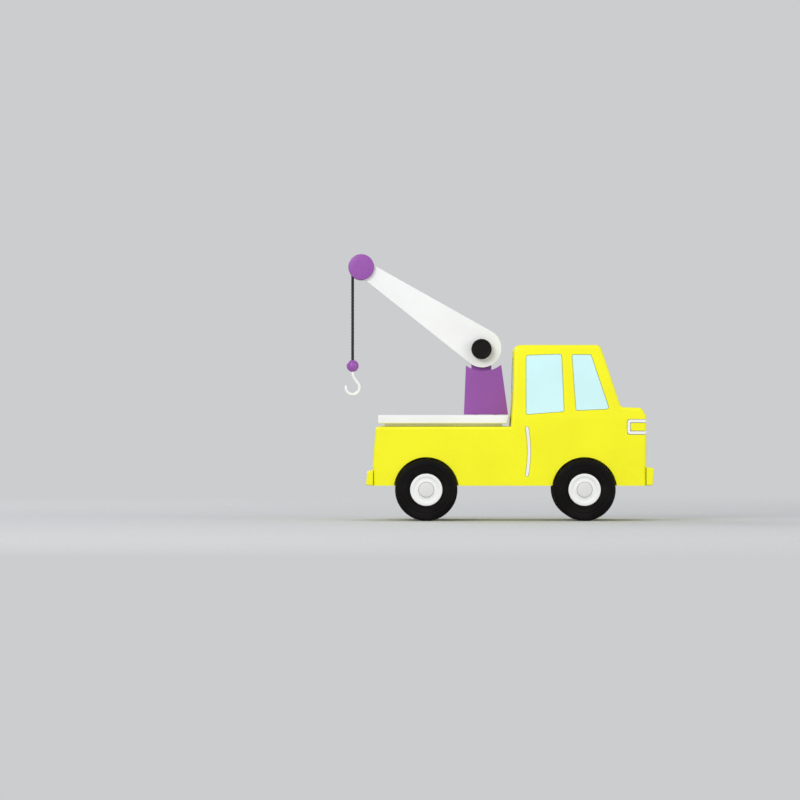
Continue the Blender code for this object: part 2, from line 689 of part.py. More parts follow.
def base_plate():
    plate_top = BODY_BOTTOM + PLATE_THICKNESS
    half_width = BODY_HALF_WIDTH - WALL - GAP
    rear_x = BODY_CORNERS[0][0] + WALL + GAP
    front_x = BODY_CORNERS[-1][0] - WALL - GAP
    side = [(rear_x, half_width)]
    for axle_x in AXLE_X.values():
        side += [(axle_x - PLATE_NOTCH, half_width), (axle_x - PLATE_NOTCH, PLATE_NOTCH_Y),
                 (axle_x + PLATE_NOTCH, PLATE_NOTCH_Y), (axle_x + PLATE_NOTCH, half_width)]
    side.append((front_x, half_width))
    outline = side + [(x, -y) for x, y in reversed(side)]
    plate = piece("base_plate", upward(outline, BODY_BOTTOM, plate_top), "yellow_plastic")

    additions = [bumper(REAR_BUMPER), bumper(FRONT_BUMPER)]
    for axle_x in AXLE_X.values():
        additions.append(box((axle_x - SADDLE_HALF_LENGTH, -SADDLE_HALF_WIDTH, WHEEL_RADIUS + GAP / 2),
                             (axle_x + SADDLE_HALF_LENGTH, SADDLE_HALF_WIDTH, BODY_BOTTOM + GAP)))
    combine(plate, joined(additions), "UNION")
    reach = WALL + 4 * GAP
    tongues = [box((x - reach, -TONGUE_HALF_WIDTH, BODY_BOTTOM + GAP), (x + reach, TONGUE_HALF_WIDTH, plate_top))
               for x in (REAR_BUMPER[0][0], FRONT_BUMPER[0][0])]
    combine(plate, joined(tongues), "UNION")

    cuts = []
    for axle_x in AXLE_X.values():
        cuts.append(at(rod(AXLE_RADIUS + GAP, -BODY_HALF_WIDTH, BODY_HALF_WIDTH), axle_x, 0, WHEEL_RADIUS))
    for _, x, y in retainer_screw_places():
        hole = upright(rod(SCREW_HOLE_RADIUS, WHEEL_RADIUS - WALL, plate_top - BLIND_HOLE_COVER, 12))
        cuts.append(at(hole, x, y, 0))
    for x in BASE_SCREW_X.values():
        for sign in SIDES.values():
            cuts.append(screw_hole(x, sign * BASE_SCREW_Y, BODY_BOTTOM, plate_top + WALL))
    combine(plate, joined(cuts))


def axle_retainers():
    for axle, axle_x in AXLE_X.items():
        block = box((axle_x - SADDLE_HALF_LENGTH, -SADDLE_HALF_WIDTH, RETAINER_BOTTOM),
                    (axle_x + SADDLE_HALF_LENGTH, SADDLE_HALF_WIDTH, WHEEL_RADIUS - GAP / 2))
        retainer = piece(f"{axle}_axle_retainer", block, "black_plastic")
        cuts = [at(rod(AXLE_RADIUS + GAP, -BODY_HALF_WIDTH, BODY_HALF_WIDTH), axle_x, 0, WHEEL_RADIUS)]
        for place_name, x, y in retainer_screw_places():
            if place_name.startswith(axle):
                cuts.append(screw_hole(x, y, RETAINER_BOTTOM, WHEEL_RADIUS + WALL))
        combine(retainer, joined(cuts))


def screws():
    for end, x in BASE_SCREW_X.items():
        for side, sign in SIDES.items():
            screw(f"base_screw_{end}_{side}", x, sign * BASE_SCREW_Y, BODY_BOTTOM + GAP / 2, BASE_SCREW_LENGTH)
    for place_name, x, y in retainer_screw_places():
        screw(f"retainer_screw_{place_name}", x, y, RETAINER_BOTTOM + GAP / 2, RETAINER_SCREW_LENGTH)
    for name, (x, length) in BED_SCREWS.items():
        screw(name, x, 0, BED_TOP_Z - WALL - GAP - SCREW_HEAD_HEIGHT, length)


# Wheels

def wheels():
    edge = TYRE_WIDTH / 2
    bore = HUB_BARREL_RADIUS + GAP
    outer_side = [(bore, edge - TYRE_BEAD_DEPTH), *((radius, edge - depth) for radius, depth in TYRE_SHOULDER)]
    tyre_profile = [(radius, -y) for radius, y in outer_side] + outer_side[::-1]
    seat, rim, dish, pocket = (edge + height for height in (HUB_SEAT, HUB_RIM, HUB_DISH, HUB_POCKET))
    shaft_bore = AXLE_RADIUS + GAP
    pocket_radius = HUBCAP_RADIUS + GAP
    hub_profile = [(shaft_bore, -seat), (HUB_BARREL_RADIUS, -seat), (HUB_BARREL_RADIUS, seat), (HUB_RADIUS, seat),
                   (HUB_RADIUS, rim - HUB_RIM_CHAMFER), (HUB_RADIUS - HUB_RIM_CHAMFER, rim),
                   (HUB_RADIUS - HUB_RIM_WIDTH, rim), (HUB_RADIUS - 1.5 * HUB_RIM_WIDTH, dish),
                   (pocket_radius, dish), (pocket_radius, pocket), (shaft_bore, pocket)]
    cap_base = pocket + GAP
    cap_profile = [(0, cap_base), (HUBCAP_RADIUS, cap_base), (HUBCAP_RADIUS, dish), (0.85 * HUBCAP_RADIUS, rim),
                   (0, edge + HUBCAP_CROWN)]
    for end, axle_x in AXLE_X.items():
        axis = pivot(f"{end}_axle_axis", (axle_x, 0, WHEEL_RADIUS))
        half_length = TYRE_MIDDLE_Y + pocket - GAP
        piece(f"{end}_axle", rod(AXLE_RADIUS, -half_length, half_length, 12, SHAFT_CHAMFER), "steel", axis)
        for side, sign in SIDES.items():
            where = {"parent": axis, "location": (0, sign * TYRE_MIDDLE_Y, 0), "turn": 0 if sign > 0 else math.pi}
            piece(f"{end}_tyre_{side}", turned(tyre_profile, 32), "tyre_rubber", **where)
            piece(f"{end}_hub_{side}", turned(hub_profile, 20), "white_plastic", **where)
            piece(f"{end}_hubcap_{side}", turned(cap_profile, 20), "hubcap_plastic", **where)


# Deck and mast

def deck():
    low_x, high_x = DECK_X
    low_z, high_z = DECK_Z
    outline = [(low_x, low_z), (low_x, high_z), (high_x, high_z), (high_x - DECK_FRONT_SLANT, low_z)]
    board = across(outline, -DECK_HALF_WIDTH, DECK_HALF_WIDTH)
    deck_piece = piece("deck", round_edges(board, lambda a, b: True, DECK_EDGE_RADIUS), "white_plastic")
    plinth = box((low_x + PLINTH_INSET, -DECK_HALF_WIDTH + PLINTH_INSET, BED_TOP_Z + GAP),
                 (high_x - PLINTH_INSET, DECK_HALF_WIDTH - PLINTH_INSET, low_z + WALL))
    combine(deck_piece, plinth, "UNION")
    cuts = []
    for name, (x, _) in BED_SCREWS.items():
        top = high_z + WALL if name.startswith("mast") else high_z - BLIND_HOLE_COVER
        cuts.append(at(upright(rod(SCREW_HOLE_RADIUS, BED_TOP_Z - WALL, top, 12)), x, 0, 0))
    combine(deck_piece, joined(cuts))


def mast():
    foot_z = DECK_Z[1] + GAP
    outline = [(MAST_FOOT_X[0], foot_z), *sagging(*MAST_TOP, CRADLE_SAG, 16), (MAST_FOOT_X[1], foot_z)]
    mast_piece = piece("mast", across(outline, -MAST_HALF_WIDTH, MAST_HALF_WIDTH), "purple_plastic")
    ear_foot_z = MAST_TOP[0].y - EAR_RADIUS
    ears = []
    for side in SIDES:
        head = arc((PIVOT.x, PIVOT.z), EAR_RADIUS, 0, 180, 16)
        outline = [(PIVOT.x + EAR_RADIUS, ear_foot_z), *head, (PIVOT.x - EAR_RADIUS, ear_foot_z)]
        ears.append(on_side(across(outline, *EAR_Y), side))
    combine(mast_piece, joined(ears), "UNION")
    bore = at(rod(WINCH_AXLE_RADIUS + GAP, -MAST_HALF_WIDTH, MAST_HALF_WIDTH), PIVOT.x, 0, PIVOT.z)
    holes = [bore]
    for name, (x, length) in BED_SCREWS.items():
        if name.startswith("mast"):
            tip_z = BED_TOP_Z - WALL - GAP + length
            holes.append(at(upright(rod(SCREW_HOLE_RADIUS, foot_z - WALL, tip_z + 3 * GAP, 12)), x, 0, 0))
    combine(mast_piece, joined(holes))


# Boom, winch, sheave and hoist, in the boom's own frame

def boom_slopes():
    """How far the boom's upper and lower sides slope towards its middle line, in radians."""
    rise = math.atan2(BOOM_HEEL_RISE, BOOM_LENGTH)
    taper = math.asin((BOOM_HEEL_RADIUS - BOOM_TIP_RADIUS) / math.hypot(BOOM_LENGTH, BOOM_HEEL_RISE))
    return taper + rise, taper - rise


def boom_outline():
    """Heel and tip circles joined by the straight lines that touch both."""
    above, below = (math.degrees(slope) for slope in boom_slopes())
    heel = arc((0, BOOM_HEEL_RISE), BOOM_HEEL_RADIUS, -90 - below, 90 + above, 28)
    tip = arc((-BOOM_LENGTH, 0), BOOM_TIP_RADIUS, 90 + above, 270 - below, 14)
    return heel + tip


def boom_top(distance):
    """Height of the boom's upper side at a distance from the pivot."""
    slope = boom_slopes()[0]
    return BOOM_HEEL_RISE + BOOM_HEEL_RADIUS / math.cos(slope) - distance * math.tan(slope)


def boom(frame):
    outside = BOOM_CHEEK_Y[1]
    boom_piece = piece("boom", across(boom_outline(), -outside, outside), "white_plastic", frame)
    near, far = BOOM_WEB_SPAN
    below = -2 * BOOM_HEEL_RADIUS
    above = 2 * BOOM_HEEL_RADIUS
    behind = BOOM_LENGTH + BOOM_HEEL_RADIUS
    channel = [(BOOM_HEEL_RADIUS + WALL, above), (-near, above), (-near, boom_top(near) - BOOM_WEB),
               (-far, boom_top(far) - BOOM_WEB), (-far, above), (-behind, above), (-behind, below),
               (BOOM_HEEL_RADIUS + WALL, below)]
    combine(boom_piece, across(channel, -BOOM_CHEEK_Y[0], BOOM_CHEEK_Y[0]))
    bores = [rod(WINCH_AXLE_RADIUS + GAP, -outside - WALL, outside + WALL),
             at(rod(AXLE_RADIUS + GAP, -outside - WALL, outside + WALL), -BOOM_LENGTH, 0, 0)]
    combine(boom_piece, joined(bores))


def cap_with_socket(radius, low_y, high_y, shaft_radius, socket_end, edge):
    """A round cap with a blind socket for a shaft's end."""
    socket = shaft_radius + GAP
    profile = [(0, socket_end), (socket, socket_end), (socket, low_y), (radius - edge / 2, low_y),
               (radius, low_y + edge / 2), (radius, high_y - edge), (radius - edge, high_y), (0, high_y)]
    return turned(profile)


def winch(frame):
    axle_end = KNOB_Y[1] - SHAFT_END_COVER
    piece("winch_axle", rod(WINCH_AXLE_RADIUS, -axle_end, axle_end, 16, SHAFT_CHAMFER), "steel", frame)
    bore = WINCH_AXLE_RADIUS + GAP
    flange_inside = DRUM_HALF_WIDTH - DRUM_FLANGE
    drum = [(bore, -DRUM_HALF_WIDTH), (DRUM_FLANGE_RADIUS, -DRUM_HALF_WIDTH), (DRUM_FLANGE_RADIUS, -flange_inside),
            (DRUM_CORE_RADIUS, -flange_inside), (DRUM_CORE_RADIUS, flange_inside),
            (DRUM_FLANGE_RADIUS, flange_inside), (DRUM_FLANGE_RADIUS, DRUM_HALF_WIDTH), (bore, DRUM_HALF_WIDTH)]
    piece("winch_drum", turned(drum), "black_plastic", frame)
    coil_half_width = flange_inside - GAP
    coil_inside = DRUM_CORE_RADIUS + GAP
    coil_outside = CORD_ON_DRUM + CORD_RADIUS
    coil = [(coil_inside, -coil_half_width), (coil_outside - CORD_RADIUS / 2, -coil_half_width),
            (coil_outside, -coil_half_width + CORD_RADIUS / 2), (coil_outside, coil_half_width - CORD_RADIUS / 2),
            (coil_outside - CORD_RADIUS / 2, coil_half_width), (coil_inside, coil_half_width)]
    piece("hoist_cord_coil", turned(coil), "cord", frame)
    for side in SIDES:
        washer = [(bore, WASHER_Y[0]), (WASHER_RADIUS, WASHER_Y[0]), (WASHER_RADIUS, WASHER_Y[1]),
                  (bore, WASHER_Y[1])]
        piece(f"friction_washer_{side}", on_side(turned(washer), side), "steel", frame)
        knob = cap_with_socket(KNOB_RADIUS, *KNOB_Y, WINCH_AXLE_RADIUS, axle_end + GAP, KNOB_EDGE)
        piece(f"winch_knob_{side}", on_side(knob, side), "black_plastic", frame)


def sheave(frame):
    axis = pivot("sheave_axis", (-BOOM_LENGTH, 0, 0), frame)
    bore = AXLE_RADIUS + GAP
    boss_y = BOOM_CHEEK_Y[0] - GAP
    lip_y = SHEAVE_HALF_WIDTH
    groove_y = CORD_RADIUS + GAP
    profile = [(bore, -boss_y), (SHEAVE_BOSS_RADIUS, -boss_y), (SHEAVE_BOSS_RADIUS, -lip_y),
               (SHEAVE_FLANGE_RADIUS, -lip_y), (SHEAVE_FLANGE_RADIUS, -lip_y + SHEAVE_LIP),
               (SHEAVE_GROOVE_RADIUS, -groove_y), (SHEAVE_GROOVE_RADIUS, groove_y),
               (SHEAVE_FLANGE_RADIUS, lip_y - SHEAVE_LIP), (SHEAVE_FLANGE_RADIUS, lip_y),
               (SHEAVE_BOSS_RADIUS, lip_y), (SHEAVE_BOSS_RADIUS, boss_y), (bore, boss_y)]
    piece("sheave", turned(profile), "purple_plastic", axis)
    pin_end = SHEAVE_CAP_Y[1] - SHAFT_END_COVER
    piece("sheave_pin", rod(AXLE_RADIUS, -pin_end, pin_end, 12, SHAFT_CHAMFER), "steel", axis)
    for side in SIDES:
        cap = cap_with_socket(SHEAVE_CAP_RADIUS, *SHEAVE_CAP_Y, AXLE_RADIUS, pin_end + GAP, SHEAVE_CAP_EDGE)
        piece(f"sheave_cap_{side}", on_side(cap, side), "purple_plastic", axis)


def inner_cord_points():
    """The cord from under the drum to over the sheave, in the boom's frame, ending where it hangs free."""
    crossing = math.asin((CORD_ON_DRUM + CORD_ON_SHEAVE) / BOOM_LENGTH)
    way = Vector((-math.cos(crossing), math.sin(crossing)))
    off_drum = Vector((-math.sin(crossing), -math.cos(crossing))) * CORD_ON_DRUM
    clear_of_coil = 5 * CORD_RADIUS
    first = off_drum + way * clear_of_coil
    run_length = BOOM_LENGTH * math.cos(crossing) - clear_of_coil
    run_steps = 18
    run = [first + way * run_length * step / run_steps for step in range(run_steps)]
    start = 90 - math.degrees(crossing)
    end = 180 + math.degrees(BOOM_ELEVATION)
    wrap = arc((-BOOM_LENGTH, 0), CORD_ON_SHEAVE, start, end - 1.5, 18)
    return [(x, 0, z) for x, z in run + wrap]


def hook_points():
    """The hook's centre line below the middle of the ball: shank, neck and bowl, open to the rear."""
    bowl_centre = (0, -HOOK_BOWL_DROP)
    bowl = arc(bowl_centre, HOOK_BOWL_RADIUS, 50, -200, 22)
    neck_top = Vector((0, -HOOK_SHANK))
    neck = [neck_top.lerp(bowl[0], share) for share in (0, 0.5)]
    neck[1].x -= HOOK_NECK_BEND
    shank = [Vector((0, -HOOK_ROOT)), Vector((0, -(HOOK_ROOT + HOOK_SHANK) / 2))]
    return [(x, 0, z) for x, z in shank + neck + bowl]


def hoist(frame):
    tube("hoist_cord_inside", inner_cord_points(), CORD_RADIUS, "cord", frame)
    along_boom = Vector((-math.cos(BOOM_ELEVATION), 0, math.sin(BOOM_ELEVATION))) * BOOM_LENGTH
    cord_top = PIVOT + along_boom - Vector((CORD_ON_SHEAVE, 0, 0))
    hang = pivot("hoist_axis", cord_top)
    cord_end = BALL_DROP - BALL_RADIUS - GAP
    steps = 12
    tube("hoist_cord", [(0, 0, -GAP - (cord_end - GAP) * step / steps) for step in range(steps + 1)], CORD_RADIUS,
         "cord", hang)
    swivel = pivot("hook_axis", (0, 0, -BALL_DROP), hang)
    ball_steps = 10
    ball_profile = [(BALL_RADIUS * math.sin(math.pi * step / ball_steps),
                     -BALL_RADIUS * math.cos(math.pi * step / ball_steps)) for step in range(ball_steps + 1)]
    ball = piece("hook_ball", upright(turned(ball_profile, 16)), "purple_plastic", swivel)
    combine(ball, upright(rod(HOOK_RADIUS + GAP, -2 * BALL_RADIUS, -HOOK_ROOT + GAP, 12)))
    tube("hook", hook_points(), HOOK_RADIUS, "white_plastic", swivel)


for existing in list(bpy.data.objects):
    bpy.data.objects.remove(existing, do_unlink=True)
materials = {name: make_material(name, *finish) for name, finish in FINISHES.items()}

body_shell()
glazing()
trim()
base_plate()
axle_retainers()
screws()
wheels()
deck()
mast()
boom_frame = pivot("boom_axis", PIVOT, tilt=BOOM_ELEVATION)
boom(boom_frame)
winch(boom_frame)
sheave(boom_frame)
hoist(boom_frame)
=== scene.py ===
"""The looks of the toy tow truck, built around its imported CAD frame. Metres, in the frame's own axes."""

import json
import math

import bmesh
import bpy
from mathutils import Matrix, Vector


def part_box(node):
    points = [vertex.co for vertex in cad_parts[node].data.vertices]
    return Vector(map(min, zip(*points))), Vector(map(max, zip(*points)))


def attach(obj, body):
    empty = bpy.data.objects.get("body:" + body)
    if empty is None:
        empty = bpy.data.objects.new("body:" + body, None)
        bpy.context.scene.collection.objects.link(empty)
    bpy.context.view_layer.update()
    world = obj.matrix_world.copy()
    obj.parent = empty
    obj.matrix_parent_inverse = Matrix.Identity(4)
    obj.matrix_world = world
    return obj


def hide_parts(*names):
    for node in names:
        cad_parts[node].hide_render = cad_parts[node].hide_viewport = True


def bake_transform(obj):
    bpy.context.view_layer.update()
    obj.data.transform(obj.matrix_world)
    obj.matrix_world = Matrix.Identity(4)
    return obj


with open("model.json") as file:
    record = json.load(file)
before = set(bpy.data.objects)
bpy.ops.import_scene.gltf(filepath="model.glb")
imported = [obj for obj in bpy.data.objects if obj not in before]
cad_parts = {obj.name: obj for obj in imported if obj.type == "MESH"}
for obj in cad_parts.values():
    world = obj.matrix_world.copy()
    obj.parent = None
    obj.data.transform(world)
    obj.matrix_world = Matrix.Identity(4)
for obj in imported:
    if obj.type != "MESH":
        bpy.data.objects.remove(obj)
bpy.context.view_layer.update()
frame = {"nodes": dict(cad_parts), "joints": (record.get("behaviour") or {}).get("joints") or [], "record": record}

RECORD = frame["record"]
BODY_OF = {node: body for body, nodes in RECORD["behaviour"]["bodies"].items() for node in nodes}
SLOT_OF = {part["node"]: part["material_slot"] for part in RECORD["subparts"]}
JOINTS = {joint["name"]: joint for joint in frame["joints"]}

# The truck heads for +X, with its left side at +Y
SIDES = {"left": 1, "right": -1}
ENDS = ("rear", "front")
ACROSS = Vector((0, 1, 0))

# Places that the frame gives
PIVOT = Vector(JOINTS["boom_lift"]["pos_m"])
TIP = Vector(JOINTS["sheave_spin"]["pos_m"])
HOOK_TOP = Vector(JOINTS["hook_swivel"]["pos_m"])
BOOM_LENGTH = (TIP - PIVOT).length
BOOM_ELEVATION = math.atan2(TIP.z - PIVOT.z, PIVOT.x - TIP.x)

# Camera: a long lens that looks along +Y at the truck's right side
VIEW_WIDTH = 0.640
VIEW_CENTRE = Vector((-0.0810, 0, 0.0968))
CAMERA_DISTANCE = 6.0
SENSOR_WIDTH = 36.0
VIEW_DEPTH = 100

# Light and floor
PALE_GREY = (0.60, 0.61, 0.62, 1)
LIGHT_AIM = Vector((0, 0, 0.08))
LIGHTS = {  # place, width, power
    "key": ((-0.9, -1.7, 1.0), 0.9, 16),
    "fill": ((1.4, -1.1, 0.6), 0.9, 6),
    "top": ((0.1, 0.3, 1.7), 0.8, 1),
    "back": ((-1.0, 1.5, 0.9), 0.9, 9),
}
FLOOR_RADIUS = 1.6
FLOOR_FADES_FROM = 0.35
FLOOR_FADES_TO = FLOOR_RADIUS * 0.9

# How far edges are rounded
TRIM_EDGE = 0.0003
TURNED_EDGE = 0.0003
ROD_EDGE = 0.0004

# Hoist cord: its radius, its middle's radius on drum and sheave, and its lay
CORD_RADIUS = 0.0012
CORD_ON_DRUM = 0.0062
CORD_ON_SHEAVE = 0.0070
STRANDS = 3
STRAND_DEPTH = 0.20
STRAND_PITCH = 0.0075


# Sizes of the frame's pieces

def radius_of(node):
    """The radius of a piece that is round about a line along Y."""
    low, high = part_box(node)
    return (high.z - low.z) / 2


def ends_of(node):
    """How far a side piece's near and far ends are from the truck's middle plane."""
    low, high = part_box(node)
    return sorted((abs(low.y), abs(high.y)))


# Outlines

def polar(radius, angle):
    return Vector((radius * math.cos(angle), radius * math.sin(angle)))


def arc(centre, radius, start, end, steps):
    """Points of an arc, with its angles in degrees."""
    angles = (math.radians(start + (end - start) * step / steps) for step in range(steps + 1))
    return [Vector(centre) + polar(radius, angle) for angle in angles]


def rounded(corners, steps=5, closed=True):
    """An outline of (x, z, radius) corners, each rounded by an arc."""
    outline = []
    for index, (x, z, radius) in enumerate(corners):
        corner = Vector((x, z))
        is_end = not closed and index in (0, len(corners) - 1)
        if not radius or is_end:
            outline.append(corner)
            continue
        before = (Vector(corners[index - 1][:2]) - corner).normalized()
        after = (Vector(corners[(index + 1) % len(corners)][:2]) - corner).normalized()
        half_angle = before.angle(after) / 2
        centre = corner + (before + after).normalized() * (radius / math.sin(half_angle))
        run = radius / math.tan(half_angle)
        first, last = (corner + side * run - centre for side in (before, after))
        start = math.atan2(first.y, first.x)
        turn = (math.atan2(last.y, last.x) - start + math.pi) % math.tau - math.pi
        outline += [centre + polar(radius, start + turn * step / steps) for step in range(steps + 1)]
    return outline


def both_ways(half):
    """A profile of (radius, y, bend) corners and its mirror image at -Y."""
    return half + [(radius, -y, bend) for radius, y, bend in reversed(half)]


# Meshes

ON_AXIS = 1e-9
SLIVER = 2e-5
FLAT_DEGREES = 0.4
SMOOTH_DEGREES = 32
CORD_SMOOTH_DEGREES = 60
BEVEL_STEPS = 3


def lathe(profile, segments=96, reshape=None):
    """A solid of revolution about Y from (radius, y) points, closed on the axis or, off it, as a ring.

    reshape(radius, y, column) may give a point of one column another radius."""
    mesh = bmesh.new()
    rows = []
    for radius, y in profile:
        if radius < ON_AXIS:
            rows.append([mesh.verts.new((0, y, 0))] * segments)
            continue
        row = []
        for column in range(segments):
            reach = reshape(radius, y, column) if reshape else radius
            x, z = polar(reach, math.tau * column / segments)
            row.append(mesh.verts.new((x, y, z)))
        rows.append(row)
    pairs = list(zip(rows, rows[1:]))
    if profile[0][0] > ON_AXIS:
        pairs.append((rows[-1], rows[0]))
    for low, high in pairs:
        for column in range(segments):
            after = (column + 1) % segments
            corners = [low[column], low[after], high[after], high[column]]
            distinct = list(dict.fromkeys(corners))
            if len(distinct) > 2:
                mesh.faces.new(distinct)
    bmesh.ops.recalc_face_normals(mesh, faces=mesh.faces)
    return mesh


def ring(mesh, centre, first, second, radius, sides, twist=None):
    """Vertices round a centre, in the plane of two directions. A twist makes them a laid cord's section."""
    vertices = []
    for side in range(sides):
        angle = math.tau * side / sides
        reach = radius
        if twist is not None:
            reach *= 1 - STRAND_DEPTH * (1 - abs(math.cos(STRANDS * (angle - twist) / 2)))
        offset = first * math.cos(angle) + second * math.sin(angle)
        vertices.append(mesh.verts.new(centre + offset * reach))
    return vertices


def skinned(mesh, rings):
    """A tube over rings of vertices, closed at both ends."""
    sides = len(rings[0])
    for low, high in zip(rings, rings[1:]):
        for side in range(sides):
            after = (side + 1) % sides
            mesh.faces.new([low[side], low[after], high[after], high[side]])
    mesh.faces.new(rings[0])
    mesh.faces.new(rings[-1][::-1])
    bmesh.ops.recalc_face_normals(mesh, faces=mesh.faces)
    return mesh


def sweep(path, radii, sides, pitch=None):
    """A tube along a path in the XZ plane, with its own radius at each point.

    With a pitch, it is a cord whose strands turn once in each pitch."""
    mesh = bmesh.new()
    rings = []
    travelled = 0.0
    for index, point in enumerate(path):
        before = path[max(index - 1, 0)]
        after = path[min(index + 1, len(path) - 1)]
        up = (after - before).normalized().cross(ACROSS).normalized()
        if index:
            travelled += (point - before).length
        twist = math.tau * travelled / pitch if pitch else None
        rings.append(ring(mesh, point, ACROSS, up, radii[index], sides, twist))
    return skinned(mesh, rings)


def upright(mesh):
    """Turn a mesh from the Y axis to the Z axis."""
    bmesh.ops.transform(mesh, matrix=Matrix.Rotation(math.pi / 2, 4, "X"), verts=mesh.verts)
    return mesh


def linked(name, data):
    """A new object in the scene."""
    thing = bpy.data.objects.new(name, data)
    bpy.context.scene.collection.objects.link(thing)
    return thing


def new_object(name, mesh, sharp_degrees=SMOOTH_DEGREES):
    data = bpy.data.meshes.new(name)
    mesh.to_mesh(data)
    mesh.free()
    data.shade_smooth()
    data.set_sharp_from_angle(angle=math.radians(sharp_degrees))
    return linked(name, data)


def facing(sign):
    """The turn about Z that points a piece made for the left side out from its own side."""
    return 0 if sign > 0 else math.pi


def stands_for(thing, node, location=(0, 0, 0), turn=0.0):
    """Put a piece in its place, in its node's finish, riding on its node's body."""
    thing.location = location
    thing.rotation_euler = (0, 0, turn)
    slot = SLOT_OF[node]
    thing.data.materials.clear()
    thing.data.materials.append(MATERIALS[slot])
    # Bevelled edges get a second material, painted paler for rubbed wear and for a painted highlight.
    if thing.modifiers:
        thing.data.materials.append(WORN_AND_HIGHLIT_EDGES[slot])
    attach(thing, BODY_OF[node])
    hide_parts(node)
    return thing


def fine(node, mesh, location=(0, 0, 0), turn=0.0, sharp_degrees=SMOOTH_DEGREES):
    """A finely made piece for a CAD node."""
    return stands_for(new_object(f"fine_{node}", mesh, sharp_degrees), node, location, turn)


def softened(node, mesh, edge_radius, angle_degrees=28):
    """A mesh that stands for a node, with its sharper edges rounded and given the paler edge finish: rubbed wear
    and a painted highlight.
    """
    thing = new_object(f"fine_{node}", mesh, 180)
    bevel = thing.modifiers.new("edges", "BEVEL")
    bevel.width = edge_radius
    bevel.segments = BEVEL_STEPS
    bevel.limit_method = "ANGLE"
    bevel.angle_limit = math.radians(angle_degrees)
    # The bevelled faces take the second material, painted paler for wear and for a painted highlight.
    bevel.material = 1
    weighted = thing.modifiers.new("flat_faces", "WEIGHTED_NORMAL")
    weighted.weight = 100
    weighted.keep_sharp = True
    return stands_for(thing, node)


def moulded(node, edge_radius=TRIM_EDGE):
    """A CAD node's own shape, with the small radius that a mould leaves on every edge."""
    mesh = bmesh.new()
    mesh.from_mesh(frame["nodes"][node].data)
    bmesh.ops.remove_doubles(mesh, verts=mesh.verts, dist=SLIVER)
    bmesh.ops.dissolve_degenerate(mesh, edges=mesh.edges, dist=SLIVER)
    bmesh.ops.dissolve_limit(mesh, angle_limit=math.radians(FLAT_DEGREES), verts=mesh.verts, edges=mesh.edges)
    return softened(node, mesh, edge_radius)


def rod(node, location):
    """A round rod along Y, with rounded ends."""
    low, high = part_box(node)
    radius = radius_of(node)
    profile = rounded([(0, low.y, 0), (radius, low.y, ROD_EDGE), (radius, high.y, ROD_EDGE), (0, high.y, 0)],
                      closed=False)
    fine(node, lathe(profile, 48), location)


# Materials

# A colour mix has sockets of one name for each type, so its colour sockets are taken by their places
MIX_SHARE, MIX_FIRST, MIX_SECOND, MIX_RESULT = 0, 6, 7, 2

PLASTIC_IOR = 1.49
RUBBER_DUST = (0.018, 0.016, 0.015)
TWINE_BLOOM = (0.035, 0.030, 0.030)


class Nodes:
    """A short way to add nodes to one material."""

    def __init__(self, name):
        self.material = bpy.data.materials.new(name)
        self.material.use_nodes = True
        self.tree = self.material.node_tree
        self.shader = self.tree.nodes["Principled BSDF"].inputs
        self.place = self.add("ShaderNodeTexCoord").outputs["Object"]

    def add(self, kind, **values):
        node = self.tree.nodes.new(kind)
        for key, value in values.items():
            if key in node.inputs:
                node.inputs[key].default_value = value
            else:
                setattr(node, key, value)
        return node

    def link(self, start, end):
        self.tree.links.new(start, end)

    def noise(self, scale, detail=3.0, stretch=None):
        node = self.add("ShaderNodeTexNoise", Scale=scale, Detail=detail)
        source = self.place
        if stretch:
            mapping = self.add("ShaderNodeMapping", Scale=stretch)
            self.link(source, mapping.inputs["Vector"])
            source = mapping.outputs["Vector"]
        self.link(source, node.inputs["Vector"])
        return node.outputs["Fac"]

    def between(self, value, low, high, start=0.0, end=1.0):
        """A value carried from start..end to low..high."""
        node = self.add("ShaderNodeMapRange")
        node.inputs["From Min"].default_value = start
        node.inputs["From Max"].default_value = end
        node.inputs["To Min"].default_value = low
        node.inputs["To Max"].default_value = high
        self.link(value, node.inputs["Value"])
        return node.outputs["Result"]

    def mix(self, share, first, second):
        """Two colours mixed by a share."""
        node = self.add("ShaderNodeMix", data_type="RGBA")
        for place, value in ((MIX_FIRST, first), (MIX_SECOND, second)):
            if isinstance(value, tuple):
                node.inputs[place].default_value = (*value, 1)
            else:
                self.link(value, node.inputs[place])
        self.link(share, node.inputs[MIX_SHARE])
        return node.outputs[MIX_RESULT]

    def bump(self, height, strength, distance, below=None):
        node = self.add("ShaderNodeBump", Strength=strength, Distance=distance)
        self.link(height, node.inputs["Height"])
        if below is not None:
            self.link(below, node.inputs["Normal"])
        return node.outputs["Normal"]


def shade(colour, factor):
    return tuple(min(channel * factor, 1.0) for channel in colour)


